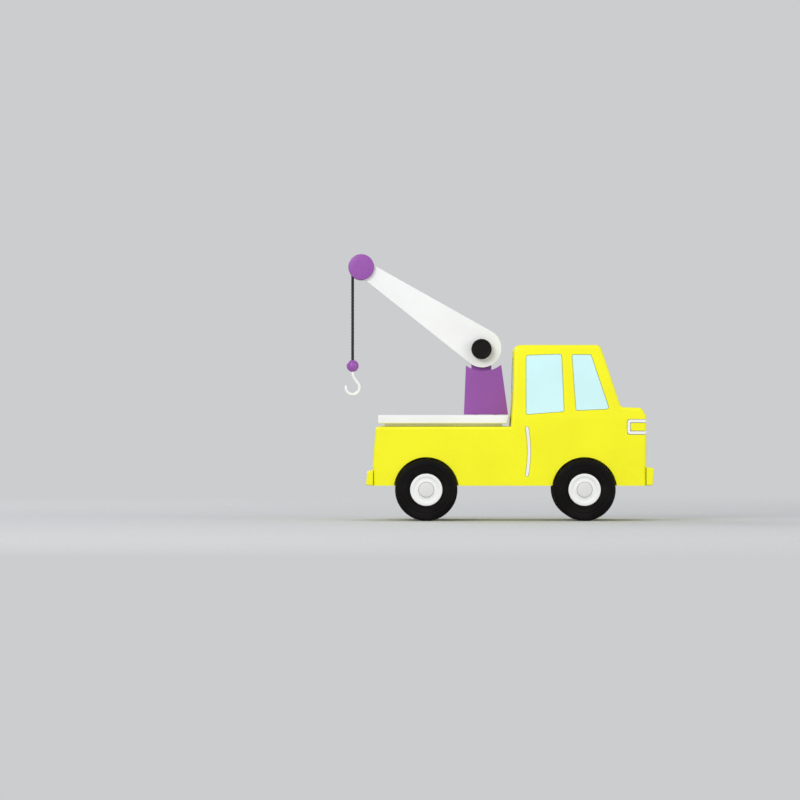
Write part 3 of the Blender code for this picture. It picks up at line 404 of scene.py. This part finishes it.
def moulded_plastic(name, colour, roughness, mottle, wear_and_highlight=0.0, grain=0.2, specular=0.5, coat=0.0):
    """Coloured all through: cloudy and finely mottled pigment, a fine mould grain, flow lines and scratches.

    On edges, patches are painted paler: partly rubbed wear, partly a painted highlight where edges catch light."""
    nodes = Nodes(name)
    cloud = nodes.between(nodes.noise(24.0), 0.0, 1.0, start=0.35, end=0.65)
    base = nodes.mix(cloud, shade(colour, 0.965), shade(colour, 1.02))
    specks = nodes.between(nodes.noise(850.0, detail=2.0), 0.0, mottle, start=0.35, end=0.65)
    base = nodes.mix(specks, base, shade(colour, 0.6))
    # Paler patches for edges: partly rubbed wear, partly a painted highlight.
    if wear_and_highlight:
        wear_and_highlight_patches = nodes.between(nodes.noise(150.0, detail=4.0), 0.0, wear_and_highlight, start=0.42, end=0.62)
        pale_wear_and_highlight = tuple(channel + (1 - channel) * 0.5 for channel in colour)
        base = nodes.mix(wear_and_highlight_patches, base, pale_wear_and_highlight)
    nodes.link(base, nodes.shader["Base Color"])
    smear = nodes.noise(60.0, detail=5.0, stretch=(1.0, 1.0, 2.2))
    smeared = nodes.between(smear, roughness - 0.04, roughness + 0.06, start=0.3, end=0.7)
    nodes.link(smeared, nodes.shader["Roughness"])
    flow = nodes.noise(14.0, detail=1.0, stretch=(0.6, 1.0, 1.4))
    scratches = nodes.noise(260.0, detail=6.0, stretch=(0.10, 1.0, 1.8))
    normal = nodes.bump(flow, 0.12, 0.0006)
    normal = nodes.bump(scratches, 0.10, 0.00004, normal)
    normal = nodes.bump(nodes.noise(2000.0, detail=2.0), grain, 0.00004, normal)
    nodes.link(normal, nodes.shader["Normal"])
    nodes.shader["IOR"].default_value = PLASTIC_IOR
    nodes.shader["Specular IOR Level"].default_value = specular
    nodes.shader["Coat Weight"].default_value = coat
    nodes.shader["Coat Roughness"].default_value = 0.08
    return nodes.material


def rubber(name, colour):
    """Matt black rubber with a pebbled grain and a little dust."""
    nodes = Nodes(name)
    dust = nodes.between(nodes.noise(60.0, detail=5.0), 0.0, 0.5, start=0.50, end=0.75)
    nodes.link(nodes.mix(dust, colour, RUBBER_DUST), nodes.shader["Base Color"])
    nodes.link(nodes.between(nodes.noise(120.0), 0.52, 0.72, start=0.3, end=0.7), nodes.shader["Roughness"])
    nodes.link(nodes.bump(nodes.noise(1500.0), 0.25, 0.00006), nodes.shader["Normal"])
    nodes.shader["Specular IOR Level"].default_value = 0.10
    return nodes.material


def turned_steel(name, colour):
    """Bright steel with fine turning marks."""
    nodes = Nodes(name)
    marks = nodes.noise(900.0, detail=4.0, stretch=(0.25, 3.0, 0.25))
    nodes.link(nodes.mix(marks, shade(colour, 0.85), shade(colour, 1.15)), nodes.shader["Base Color"])
    nodes.link(nodes.between(marks, 0.22, 0.38), nodes.shader["Roughness"])
    nodes.link(nodes.bump(marks, 0.15, 0.00003), nodes.shader["Normal"])
    nodes.shader["Metallic"].default_value = 1.0
    return nodes.material


def twine(name, colour):
    """Black polyester twine: fibres along the strands, and a soft bloom."""
    nodes = Nodes(name)
    fibres = nodes.noise(3200.0, detail=4.0, stretch=(1.0, 1.0, 0.35))
    nodes.link(nodes.mix(fibres, shade(colour, 0.6), TWINE_BLOOM), nodes.shader["Base Color"])
    nodes.link(nodes.bump(fibres, 0.5, 0.00008), nodes.shader["Normal"])
    nodes.shader["Roughness"].default_value = 0.85
    nodes.shader["Sheen Weight"].default_value = 0.15
    return nodes.material


# The worn value of each plastic sets how pale its edge patches are painted: partly rubbed wear, partly a painted
# highlight.
PLASTICS = {
    "yellow_plastic": {"colour": (1.0, 0.95, 0.001), "roughness": 0.34, "mottle": 0.06, "wear_and_highlight": 0.22},
    "white_plastic": {"colour": (0.93, 0.93, 0.92), "roughness": 0.36, "mottle": 0.05, "wear_and_highlight": 0.30},
    "purple_plastic": {"colour": (0.345, 0.092, 0.440), "roughness": 0.34, "mottle": 0.26, "wear_and_highlight": 0.16},
    "black_plastic": {"colour": (0.004, 0.002, 0.002), "roughness": 0.42, "mottle": 0.0, "wear_and_highlight": 0.03,
                      "specular": 0.2},
    "window_plastic": {"colour": (0.66, 0.97, 0.98), "roughness": 0.20, "mottle": 0.03, "wear_and_highlight": 0.15,
                       "grain": 0.03, "coat": 0.4},
    "hubcap_plastic": {"colour": (0.80, 0.79, 0.785), "roughness": 0.42, "mottle": 0.05, "wear_and_highlight": 0.20},
}
MATERIALS = {
    "tyre_rubber": rubber("tyre_rubber", (0.004, 0.003, 0.003)),
    "steel": turned_steel("steel", (0.60, 0.60, 0.61)),
    "cord": twine("cord", (0.010, 0.006, 0.006)),
}
WORN_AND_HIGHLIT_EDGES = {}
# Each plastic as a plain material and an edge material whose paler patches are partly wear, partly a painted
# highlight.
for slot_name, look in PLASTICS.items():
    MATERIALS[slot_name] = moulded_plastic(slot_name, **{**look, "wear_and_highlight": 0.0})
    WORN_AND_HIGHLIT_EDGES[slot_name] = moulded_plastic(f"{slot_name}_edge", **look)


# Camera, light and floor

def camera():
    data = bpy.data.cameras.new("camera")
    data.sensor_width = SENSOR_WIDTH
    data.lens = SENSOR_WIDTH * CAMERA_DISTANCE / VIEW_WIDTH
    data.clip_end = VIEW_DEPTH
    thing = linked("camera", data)
    near_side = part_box("body_shell")[0].y
    thing.location = (VIEW_CENTRE.x, near_side - CAMERA_DISTANCE, VIEW_CENTRE.z)
    thing.rotation_euler = (math.pi / 2, 0, 0)
    bpy.context.scene.camera = thing


def softbox(name, place, width, power):
    data = bpy.data.lights.new(name, "AREA")
    data.shape = "DISK"
    data.size = width
    data.energy = power
    thing = linked(name, data)
    thing.location = place
    thing.rotation_euler = (LIGHT_AIM - Vector(place)).to_track_quat("-Z", "Y").to_euler()


def studio():
    world = bpy.data.worlds.new("studio")
    world.use_nodes = True
    background = world.node_tree.nodes["Background"]
    background.inputs["Color"].default_value = PALE_GREY
    background.inputs["Strength"].default_value = 1.0
    bpy.context.scene.world = world
    bpy.context.scene.view_settings.view_transform = "Standard"
    for name, (place, width, power) in LIGHTS.items():
        softbox(name, place, width, power)


def floor():
    """A pale disc that fades into the background towards its rim."""
    mesh = bmesh.new()
    bmesh.ops.create_circle(mesh, cap_ends=True, segments=96, radius=FLOOR_RADIUS)
    thing = new_object("floor", mesh)
    nodes = Nodes("floor")
    nodes.shader["Base Color"].default_value = PALE_GREY
    nodes.shader["Roughness"].default_value = 0.85
    nodes.shader["Specular IOR Level"].default_value = 0.2
    reach = nodes.add("ShaderNodeVectorMath", operation="LENGTH")
    nodes.link(nodes.place, reach.inputs[0])
    fade = nodes.between(reach.outputs["Value"], 1.0, 0.0, FLOOR_FADES_FROM, FLOOR_FADES_TO)
    nodes.link(fade, nodes.shader["Alpha"])
    thing.data.materials.append(nodes.material)


# Moulded body pieces

BODY_EDGES = {"body_shell": 0.0004, "base_plate": 0.0003, "deck": 0.0004, "mast": 0.0006, "boom": 0.0005}
LENS_EDGE = 0.0006
DOOR_LINE_WIDTH = 0.0024
DOOR_LINE_STEPS = 32
DOOR_LINE_END_STEPS = 14


def door_line(node):
    """The bowed strip on a door, with round ends and softened edges."""
    low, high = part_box(node)
    half = DOOR_LINE_WIDTH / 2
    bow = high.x - low.x - DOOR_LINE_WIDTH
    foot, head = low.z + half, high.z - half
    middle = []
    for step in range(DOOR_LINE_STEPS + 1):
        share = step / DOOR_LINE_STEPS
        x = low.x + half + bow * (1 - (2 * share - 1) ** 2)
        middle.append((x, foot + (head - foot) * share))
    outline = [(x + half, z) for x, z in middle]
    outline += arc(middle[-1], half, 10, 170, DOOR_LINE_END_STEPS)
    outline += [(x - half, z) for x, z in reversed(middle)]
    outline += arc(middle[0], half, 190, 350, DOOR_LINE_END_STEPS)
    mesh = bmesh.new()
    face = mesh.faces.new([mesh.verts.new((x, low.y, z)) for x, z in outline])
    made = bmesh.ops.extrude_face_region(mesh, geom=[face])["geom"]
    moved = [item for item in made if isinstance(item, bmesh.types.BMVert)]
    bmesh.ops.translate(mesh, verts=moved, vec=(0, high.y - low.y, 0))
    bmesh.ops.recalc_face_normals(mesh, faces=mesh.faces)
    softened(node, mesh, TRIM_EDGE, angle_degrees=60)


def body():
    for node, edge_radius in BODY_EDGES.items():
        moulded(node, edge_radius)
    for node in ("windscreen", "rear_window"):
        moulded(node)
    for side in SIDES:
        moulded(f"side_glass_{side}")
        door_line(f"door_line_{side}")
        moulded(f"headlight_frame_{side}")
        moulded(f"headlight_lens_{side}", LENS_EDGE)
    for end in ENDS:
        moulded(f"{end}_axle_retainer")


# Wheels

# The sidewall's corners, as (out from the hub, in from the tyre's face, bend)
SIDEWALL = ((0, 0.0012, 0), (0.0008, 0.0008, 0.0004), (0.0022, 0.0008, 0), (0.0028, 0.0003, 0.0003),
            (0.0060, 0, 0.0012), (0.0066, 0.0004, 0.0003), (0.0074, 0, 0.0004))
SIDEWALL_TOP = (0.0016, 0.0004, 0.0014)  # in from the tread, in from the tyre's face, bend
SHOULDER_WIDTH = 0.0038
SHOULDER_BEND = 0.0022
TREAD_RIB = 0.0034
TREAD_GROOVE = 0.0011
TREAD_DEPTH = 0.0009
TREAD_EDGE = 0.0003
GROOVE_SLOPE = 0.0002
TYRE_COLUMNS = 192
NOTCH_EVERY = 6       # columns
NOTCH_WIDTH = 2       # columns
NOTCH_DEPTH = 0.0006
NOTCH_INSET = 0.0008  # between groove and notch

AXLE_BORE = 0.0018
TYRE_GAP = 0.0003    # between tyre and hub
HUB_LIP = 0.0009     # the hub's rim stands this far over its barrel
HUB_INSET = 0.0005   # the barrel ends this far inside the tyre's faces
RIM_WIDTH = 0.0022
DISH_DEPTH = 0.0010  # of the ring between rim and cap
DISH_SLOPE = 0.0012
COLLAR_DEPTH = 0.0005
COLLAR_WIDTH = 0.0008
COLLAR_FOOT = 0.0012
CAP_GAP = 0.0002     # round the cap
CAP_POCKET_GAP = 0.0003
CAP_SHOULDER = 0.90  # where the dome's outer slope starts, as a share of the cap's radius
CAP_CROWN = 0.5      # where its inner slope starts
CAP_BEND = 0.0006
CAP_SINK = 0.0001


def tyre_profile(inner, outer, edge):
    """Rounded sidewalls with raised rings, and a tread of three ribs between smooth shoulders."""
    side = [(inner + out, edge - sunk, bend) for out, sunk, bend in SIDEWALL]
    drop, sunk, bend = SIDEWALL_TOP
    shoulder = edge - SHOULDER_WIDTH
    side += [(outer - drop, edge - sunk, bend), (outer, shoulder, SHOULDER_BEND)]
    near = TREAD_RIB / 2
    far = near + TREAD_GROOVE
    groove = outer - TREAD_DEPTH
    tread = [(outer, far + NOTCH_INSET, 0), (outer, far, TREAD_EDGE),
             (groove, far - GROOVE_SLOPE, GROOVE_SLOPE), (groove, near + GROOVE_SLOPE, GROOVE_SLOPE),
             (outer, near, TREAD_EDGE)]
    return rounded(both_ways(side + tread), steps=3)


def notched(outer, edge):
    """Short notches across the tread's two outer ribs."""
    low = TREAD_RIB / 2 + TREAD_GROOVE + NOTCH_INSET - SLIVER
    high = edge - SHOULDER_WIDTH

    def reshape(radius, y, column):
        in_rib = low < abs(y) < high and radius > outer - SLIVER / 2
        return radius - NOTCH_DEPTH if in_rib and column % NOTCH_EVERY < NOTCH_WIDTH else radius

    return reshape


def hub_profile(radius, barrel, edge, rim, cap_radius, pocket):
    """A barrel in the tyre, a raised rim, a dished ring, and a collar round the cap's pocket."""
    barrel_end = edge - HUB_INSET
    rim_inside = radius - RIM_WIDTH
    dish = rim - DISH_DEPTH
    collar = rim - COLLAR_DEPTH
    pocket_radius = cap_radius + CAP_GAP
    return rounded([
        (AXLE_BORE, -barrel_end, 0), (barrel, -barrel_end, 0.0006), (barrel, barrel_end, 0),
        (radius, barrel_end, 0.0002), (radius, rim, 0.0007), (rim_inside, rim, 0.0005),
        (rim_inside - DISH_SLOPE, dish, 0.0008), (cap_radius + COLLAR_FOOT, dish, 0.0004),
        (cap_radius + COLLAR_WIDTH, collar, 0.0003), (pocket_radius, collar, 0.0002),
        (pocket_radius, pocket, 0), (AXLE_BORE, pocket, 0)])


def cap_profile(radius, foot, rim, top):
    """A flat foot, a short wall and a low dome in two slopes."""
    return [(0, foot), (radius, foot)] + rounded([
        (radius, foot + 0.0003, 0), (radius, rim - CAP_BEND, CAP_BEND),
        (radius * CAP_SHOULDER, rim - CAP_SINK, CAP_BEND), (radius * CAP_CROWN, top - CAP_SINK, 0.0030),
        (0, top, 0)], closed=False)


def wheels():
    """Tyre, hub and cap are made once and shared by the four wheels. Each of the two axles is a rod."""
    low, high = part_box("front_tyre_left")
    middle_y = (high.y + low.y) / 2
    edge = (high.y - low.y) / 2
    outer = radius_of("front_tyre_left")
    hub_radius = radius_of("front_hub_left")
    barrel = hub_radius - HUB_LIP
    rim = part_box("front_hub_left")[1].y - middle_y
    cap_low, cap_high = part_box("front_hubcap_left")
    cap_radius = radius_of("front_hubcap_left")
    cap_foot = cap_low.y - middle_y

    tyre = lathe(tyre_profile(barrel + TYRE_GAP, outer, edge), TYRE_COLUMNS, notched(outer, edge))
    hub = lathe(hub_profile(hub_radius, barrel, edge, rim, cap_radius, cap_foot - CAP_POCKET_GAP))
    cap = lathe(cap_profile(cap_radius, cap_foot, rim, cap_high.y - middle_y))
    patterns = {"tyre": new_object("tyre_pattern", tyre), "hub": new_object("hub_pattern", hub),
                "hubcap": new_object("hubcap_pattern", cap)}
    for end in ENDS:
        axis = Vector(JOINTS[f"{end}_axle_roll"]["pos_m"])
        for side, sign in SIDES.items():
            for kind, pattern in patterns.items():
                node = f"{end}_{kind}_{side}"
                piece = linked(f"fine_{node}", pattern.data.copy())
                stands_for(piece, node, axis + ACROSS * sign * middle_y, facing(sign))
        rod(f"{end}_axle", axis)
    for pattern in patterns.values():
        bpy.data.objects.remove(pattern)


# Screws: a domed head with a cross recess

SCREW_HEAD_HEIGHT = 0.0015
SCREW_SHANK_RADIUS = 0.0011
SCREW_POINT = 0.75   # the blunt point's radius, as a share of the shank's
THREAD_PITCH = 0.0009
THREAD_START = 0.0002
THREAD = ((0, 0.80), (0.3, 0.80), (0.55, 1), (0.8, 0.80))  # shares of the pitch and of the shank's radius
DOME_RADIUS = 1.4    # as a share of the head's radius
DOME_RISE = 0.55     # as a share of the head's height
RECESS = (0.0026, 0.0006, 0.0018)  # length, width and the bar's height, half of it below the head


def screw_mesh(head_radius, length):
    """A screw that points up, with a domed head, a thread and a blunt point."""
    shank = SCREW_SHANK_RADIUS
    dome_radius = head_radius * DOME_RADIUS
    dome = arc((0, dome_radius), dome_radius, -90, -48, 6)
    rise = SCREW_HEAD_HEIGHT * DOME_RISE
    profile = [(point.x * head_radius / dome[-1].x, point.y * rise / dome[-1].y) for point in dome]
    profile += [(head_radius, SCREW_HEAD_HEIGHT), (shank, SCREW_HEAD_HEIGHT)]
    for turn in range(int((length - SCREW_HEAD_HEIGHT - shank) / THREAD_PITCH)):
        start = SCREW_HEAD_HEIGHT + THREAD_START + turn * THREAD_PITCH
        profile += [(shank * width, start + THREAD_PITCH * share) for share, width in THREAD]
    profile += [(shank * SCREW_POINT, length - shank), (0, length)]
    return upright(lathe(profile, 32))


def cross_recess():
    """Two crossed bars, which are cut out of a screw's head."""
    length, width, height = RECESS
    mesh = bmesh.new()
    for size in ((width, length, height), (length, width, height)):
        bar = bmesh.ops.create_cube(mesh, size=1)["verts"]
        bmesh.ops.scale(mesh, vec=size, verts=bar)
    return new_object("cross_recess", mesh)


def screws():
    """Screws that show underneath, made once and shared. The four inside the bed keep their CAD shape."""
    cutter = cross_recess()
    for kind in ("base", "retainer"):
        names = [f"{kind}_screw_{end}_{side}" for end in ENDS for side in SIDES]
        low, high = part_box(names[0])
        pattern = new_object("screw_pattern", screw_mesh((high.y - low.y) / 2, high.z - low.z))
        cut = pattern.modifiers.new("cross", "BOOLEAN")
        cut.object = cutter
        cut.use_self = True
        bpy.context.view_layer.update()
        made = bpy.data.meshes.new_from_object(pattern.evaluated_get(bpy.context.evaluated_depsgraph_get()))
        for name in names:
            low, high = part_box(name)
            screw = linked(f"fine_{name}", made.copy())
            stands_for(screw, name, ((low.x + high.x) / 2, (low.y + high.y) / 2, low.z))
        bpy.data.objects.remove(pattern)
    bpy.data.objects.remove(cutter)
    for name in ("deck_screw", "mast_screw"):
        for end in ENDS:
            node = frame["nodes"][f"{name}_{end}"]
            node.data.materials.clear()
            node.data.materials.append(MATERIALS["steel"])


# Winch and sheave

WINCH_BORE = 0.0023
SOCKET_FLOOR = 0.0012  # thickness that a knob or a cap leaves over its blind socket
KNOB_FLUTES = 36
KNOB_COLUMNS = 216
FLUTE_DEPTH = 0.00025
KNOB_FOOT = 0.0004
KNOB_GRIP_ROWS = 5
KNOB_GRIP_START = 0.0007  # above the knob's foot
KNOB_GRIP_END = 0.0011    # below the knob's top
KNOB_RIM = 0.0010         # below the knob's top, where the flutes end
KNOB_RIM_WIDTH = 0.0016
KNOB_FACE_DEPTH = 0.0005
KNOB_FACE_SLOPE = 0.0006
DRUM_CORE = 0.0042
DRUM_WALL = 0.0010
SHEAVE_BORE = 0.0018
SHEAVE_BOSS = 0.0040
SHEAVE_GROOVE = 0.0055
SHEAVE_HALF_WIDTH = 0.0030
SHEAVE_WALL = 0.0006
TIP_CAP_RISE = 0.0004
TIP_CAP_CROWN = 0.55   # the dome's flat middle, as a share of the cap's radius


def knob(node, sign):
    """A winch knob with a fluted grip and a sunk face."""
    near, far = ends_of(node)
    radius = radius_of(node)
    grip_start, grip_end, rim = near + KNOB_GRIP_START, far - KNOB_GRIP_END, far - KNOB_RIM
    rim_inside = radius - KNOB_RIM_WIDTH
    face = far - KNOB_FACE_DEPTH

    def fluted(reach, y, column):
        if reach < radius - SLIVER or not grip_start - SLIVER < y < rim + SLIVER:
            return reach
        return reach - FLUTE_DEPTH * (1 - math.cos(math.tau * KNOB_FLUTES * column / KNOB_COLUMNS)) / 2

    socket = [(0, far - SOCKET_FLOOR), (WINCH_BORE, far - SOCKET_FLOOR), (WINCH_BORE, near)]
    foot = [(radius - KNOB_FOOT, near), (radius, near + KNOB_FOOT)]
    row_height = (grip_end - grip_start) / KNOB_GRIP_ROWS
    grip = [(radius, grip_start + row_height * row) for row in range(KNOB_GRIP_ROWS + 1)]
    top = rounded([(radius, rim, 0), (radius, far, 0.0009), (rim_inside, far, 0.0004),
                   (rim_inside - KNOB_FACE_SLOPE, face, 0.0004), (0, face, 0)], closed=False)
    fine(node, lathe(socket + foot + grip + top, KNOB_COLUMNS, fluted), PIVOT, facing(sign))


def round_cap(node, sign):
    """A boom tip cap: a shallow dome with a rounded rim."""
    near, far = ends_of(node)
    radius = radius_of(node)
    socket = [(0, far - SOCKET_FLOOR), (SHEAVE_BORE, far - SOCKET_FLOOR), (SHEAVE_BORE, near)]
    dome = rounded([(radius - 0.0010, near, 0), (radius, near, 0.0004), (radius, far - TIP_CAP_RISE, 0.0009),
                    (radius * TIP_CAP_CROWN, far, 0.0060), (0, far, 0)], closed=False)
    fine(node, lathe(socket + dome, 128), TIP, facing(sign))


def drum():
    flange = radius_of("winch_drum")
    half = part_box("winch_drum")[1].y
    inside = half - DRUM_WALL
    right_half = [(WINCH_BORE, -half, 0), (flange, -half, TURNED_EDGE), (flange, -inside, TURNED_EDGE),
                  (DRUM_CORE, -inside, TURNED_EDGE)]
    fine("winch_drum", lathe(rounded(both_ways(right_half), steps=3)), PIVOT)


def friction_washer(node):
    low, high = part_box(node)
    outside = radius_of(node)
    profile = rounded([(WINCH_BORE, low.y, 0.0001), (outside, low.y, TURNED_EDGE),
                       (outside, high.y, TURNED_EDGE), (WINCH_BORE, high.y, 0.0001)], steps=3)
    fine(node, lathe(profile, 64), PIVOT)


def winch():
    rod("winch_axle", PIVOT)
    drum()
    for side, sign in SIDES.items():
        knob(f"winch_knob_{side}", sign)
        friction_washer(f"friction_washer_{side}")


def tip_sheave():
    flange = radius_of("sheave")
    boss_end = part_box("sheave")[1].y
    wide = SHEAVE_HALF_WIDTH
    left_half = [(SHEAVE_BORE, boss_end, 0.0002), (SHEAVE_BOSS, boss_end, TURNED_EDGE),
                 (SHEAVE_BOSS, wide, 0.0006), (flange, wide, TURNED_EDGE),
                 (flange, wide - SHEAVE_WALL, TURNED_EDGE), (SHEAVE_GROOVE, CORD_RADIUS + 0.0003, 0.0008)]
    fine("sheave", lathe(rounded(both_ways(left_half), steps=4)), TIP)
    rod("sheave_pin", TIP)
    for side, sign in SIDES.items():
        round_cap(f"sheave_cap_{side}", sign)


# Ball and hook

BALL_SOCKET_RADIUS = 0.0015
BALL_SOCKET_FLOOR = 0.0012  # this and the next three are below the ball's centre
HOOK_START = 0.0015
HOOK_SHANK_END = 0.0080
HOOK_BOWL_CENTRE = 0.0175
HOOK_BOWL_RADIUS = 0.0056
HOOK_ROD = 0.0012
HOOK_SMOOTHING = 6
HOOK_TIP_POINTS = 7


def hook_ball():
    low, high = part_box("hook_ball")
    radius = (high.x - low.x) / 2
    mouth = math.degrees(math.asin(BALL_SOCKET_RADIUS / radius))
    globe = [(point.x, point.y) for point in arc((0, 0), radius, -90 + mouth, 90, 32)]
    globe[-1] = (0, radius)
    profile = [(0, -BALL_SOCKET_FLOOR), (BALL_SOCKET_RADIUS, -BALL_SOCKET_FLOOR), *globe]
    fine("hook_ball", upright(lathe(profile, 72)), HOOK_TOP)


def hook():
    """A bent rod: a plumb shank, a slanted neck and a round bowl, with a tapered tip."""
    bowl = arc((0, -HOOK_BOWL_CENTRE), HOOK_BOWL_RADIUS, 50, -200, 44)
    neck_top = Vector((0, -HOOK_SHANK_END))
    neck = [neck_top.lerp(bowl[0], step / 6) for step in range(6)]
    shank = [Vector((0, -HOOK_START - (HOOK_SHANK_END - HOOK_START) * step / 8)) for step in range(8)]
    line = shank + neck + bowl
    for _ in range(HOOK_SMOOTHING):
        line = [line[0], *((a + 2 * b + c) / 4 for a, b, c in zip(line, line[1:], line[2:])), line[-1]]
    path = [HOOK_TOP + Vector((point.x, 0, point.y)) for point in line]
    radii = []
    for index in range(len(path)):
        share = min((len(path) - 1 - index) / HOOK_TIP_POINTS, 1)
        radii.append(HOOK_ROD * math.sqrt(max(0.02, 1 - (1 - share) ** 2)))
    fine("hook", sweep(path, radii, 20))


# The cord: a coil on the drum, the run to the sheave, the turn over it and the fall to the hook

CORD_SIDES = 18
CORD_STEP = 0.0006
COIL_SIDES = 14
COIL_TURNS = 2.4
COIL_STEPS = 72       # for each turn
COIL_INSET = 0.0001   # keeps the coil inside the CAD coil's ring
RUN_START = 0.045     # of the line from drum to sheave, which is just outside the coil
BALL_OVERLAP = 0.0002


def cord_mesh(path):
    return sweep(path, [CORD_RADIUS] * len(path), CORD_SIDES, STRAND_PITCH)


def in_boom(x, z):
    """A point of the boom's own plane, whose X runs back along the boom from the tip to the pivot."""
    return PIVOT + Matrix.Rotation(BOOM_ELEVATION, 3, "Y") @ Vector((x, 0, z))


def straight(start, end):
    """Points of a straight run, no more than CORD_STEP apart."""
    count = max(2, math.ceil((end - start).length / CORD_STEP))
    return [start.lerp(end, index / count) for index in range(count + 1)]


def coil():
    """The turns on the drum, as a helix that lies inside the CAD coil's ring."""
    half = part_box("hoist_cord_coil")[1].y - CORD_RADIUS
    count = int(COIL_TURNS * COIL_STEPS)
    mesh = bmesh.new()
    rings = []
    for index in range(count + 1):
        angle = math.tau * index / COIL_STEPS
        radial = Vector((math.cos(angle), 0, math.sin(angle)))
        centre = radial * (CORD_ON_DRUM - COIL_INSET) + ACROSS * (2 * half * index / count - half)
        twist = math.tau * angle * CORD_ON_DRUM / STRAND_PITCH
        rings.append(ring(mesh, centre, radial, ACROSS, CORD_RADIUS, COIL_SIDES, twist))
    fine("hoist_cord_coil", skinned(mesh, rings), PIVOT, sharp_degrees=CORD_SMOOTH_DEGREES)


def hoist_cord():
    coil()
    crossing = math.asin((CORD_ON_DRUM + CORD_ON_SHEAVE) / BOOM_LENGTH)
    off_drum = Vector((-math.sin(crossing), -math.cos(crossing))) * CORD_ON_DRUM
    on_sheave = Vector((-BOOM_LENGTH, 0)) + Vector((math.sin(crossing), math.cos(crossing))) * CORD_ON_SHEAVE
    off_coil = off_drum.lerp(on_sheave, RUN_START)
    run = straight(in_boom(*off_coil), in_boom(*on_sheave))
    fine("hoist_cord_inside", cord_mesh(run), sharp_degrees=CORD_SMOOTH_DEGREES)

    first = 90 - math.degrees(crossing)
    last = 180 + math.degrees(BOOM_ELEVATION)
    over = [in_boom(*point) for point in arc((-BOOM_LENGTH, 0), CORD_ON_SHEAVE, first, last, 48)]
    turn = new_object("hoist_cord_over_sheave", cord_mesh(over), CORD_SMOOTH_DEGREES)
    turn.data.materials.append(MATERIALS["cord"])
    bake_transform(turn)

    top = over[-1]
    bottom = Vector((top.x, 0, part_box("hook_ball")[1].z - BALL_OVERLAP))
    fall = straight(top, bottom)
    cord = new_object("fine_hoist_cord", cord_mesh(fall), CORD_SMOOTH_DEGREES)
    cord.data.materials.append(MATERIALS["cord"])
    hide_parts("hoist_cord")
    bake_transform(cord)


camera()
studio()
floor()
body()
wheels()
screws()
winch()
tip_sheave()
hook_ball()
hook()
hoist_cord()
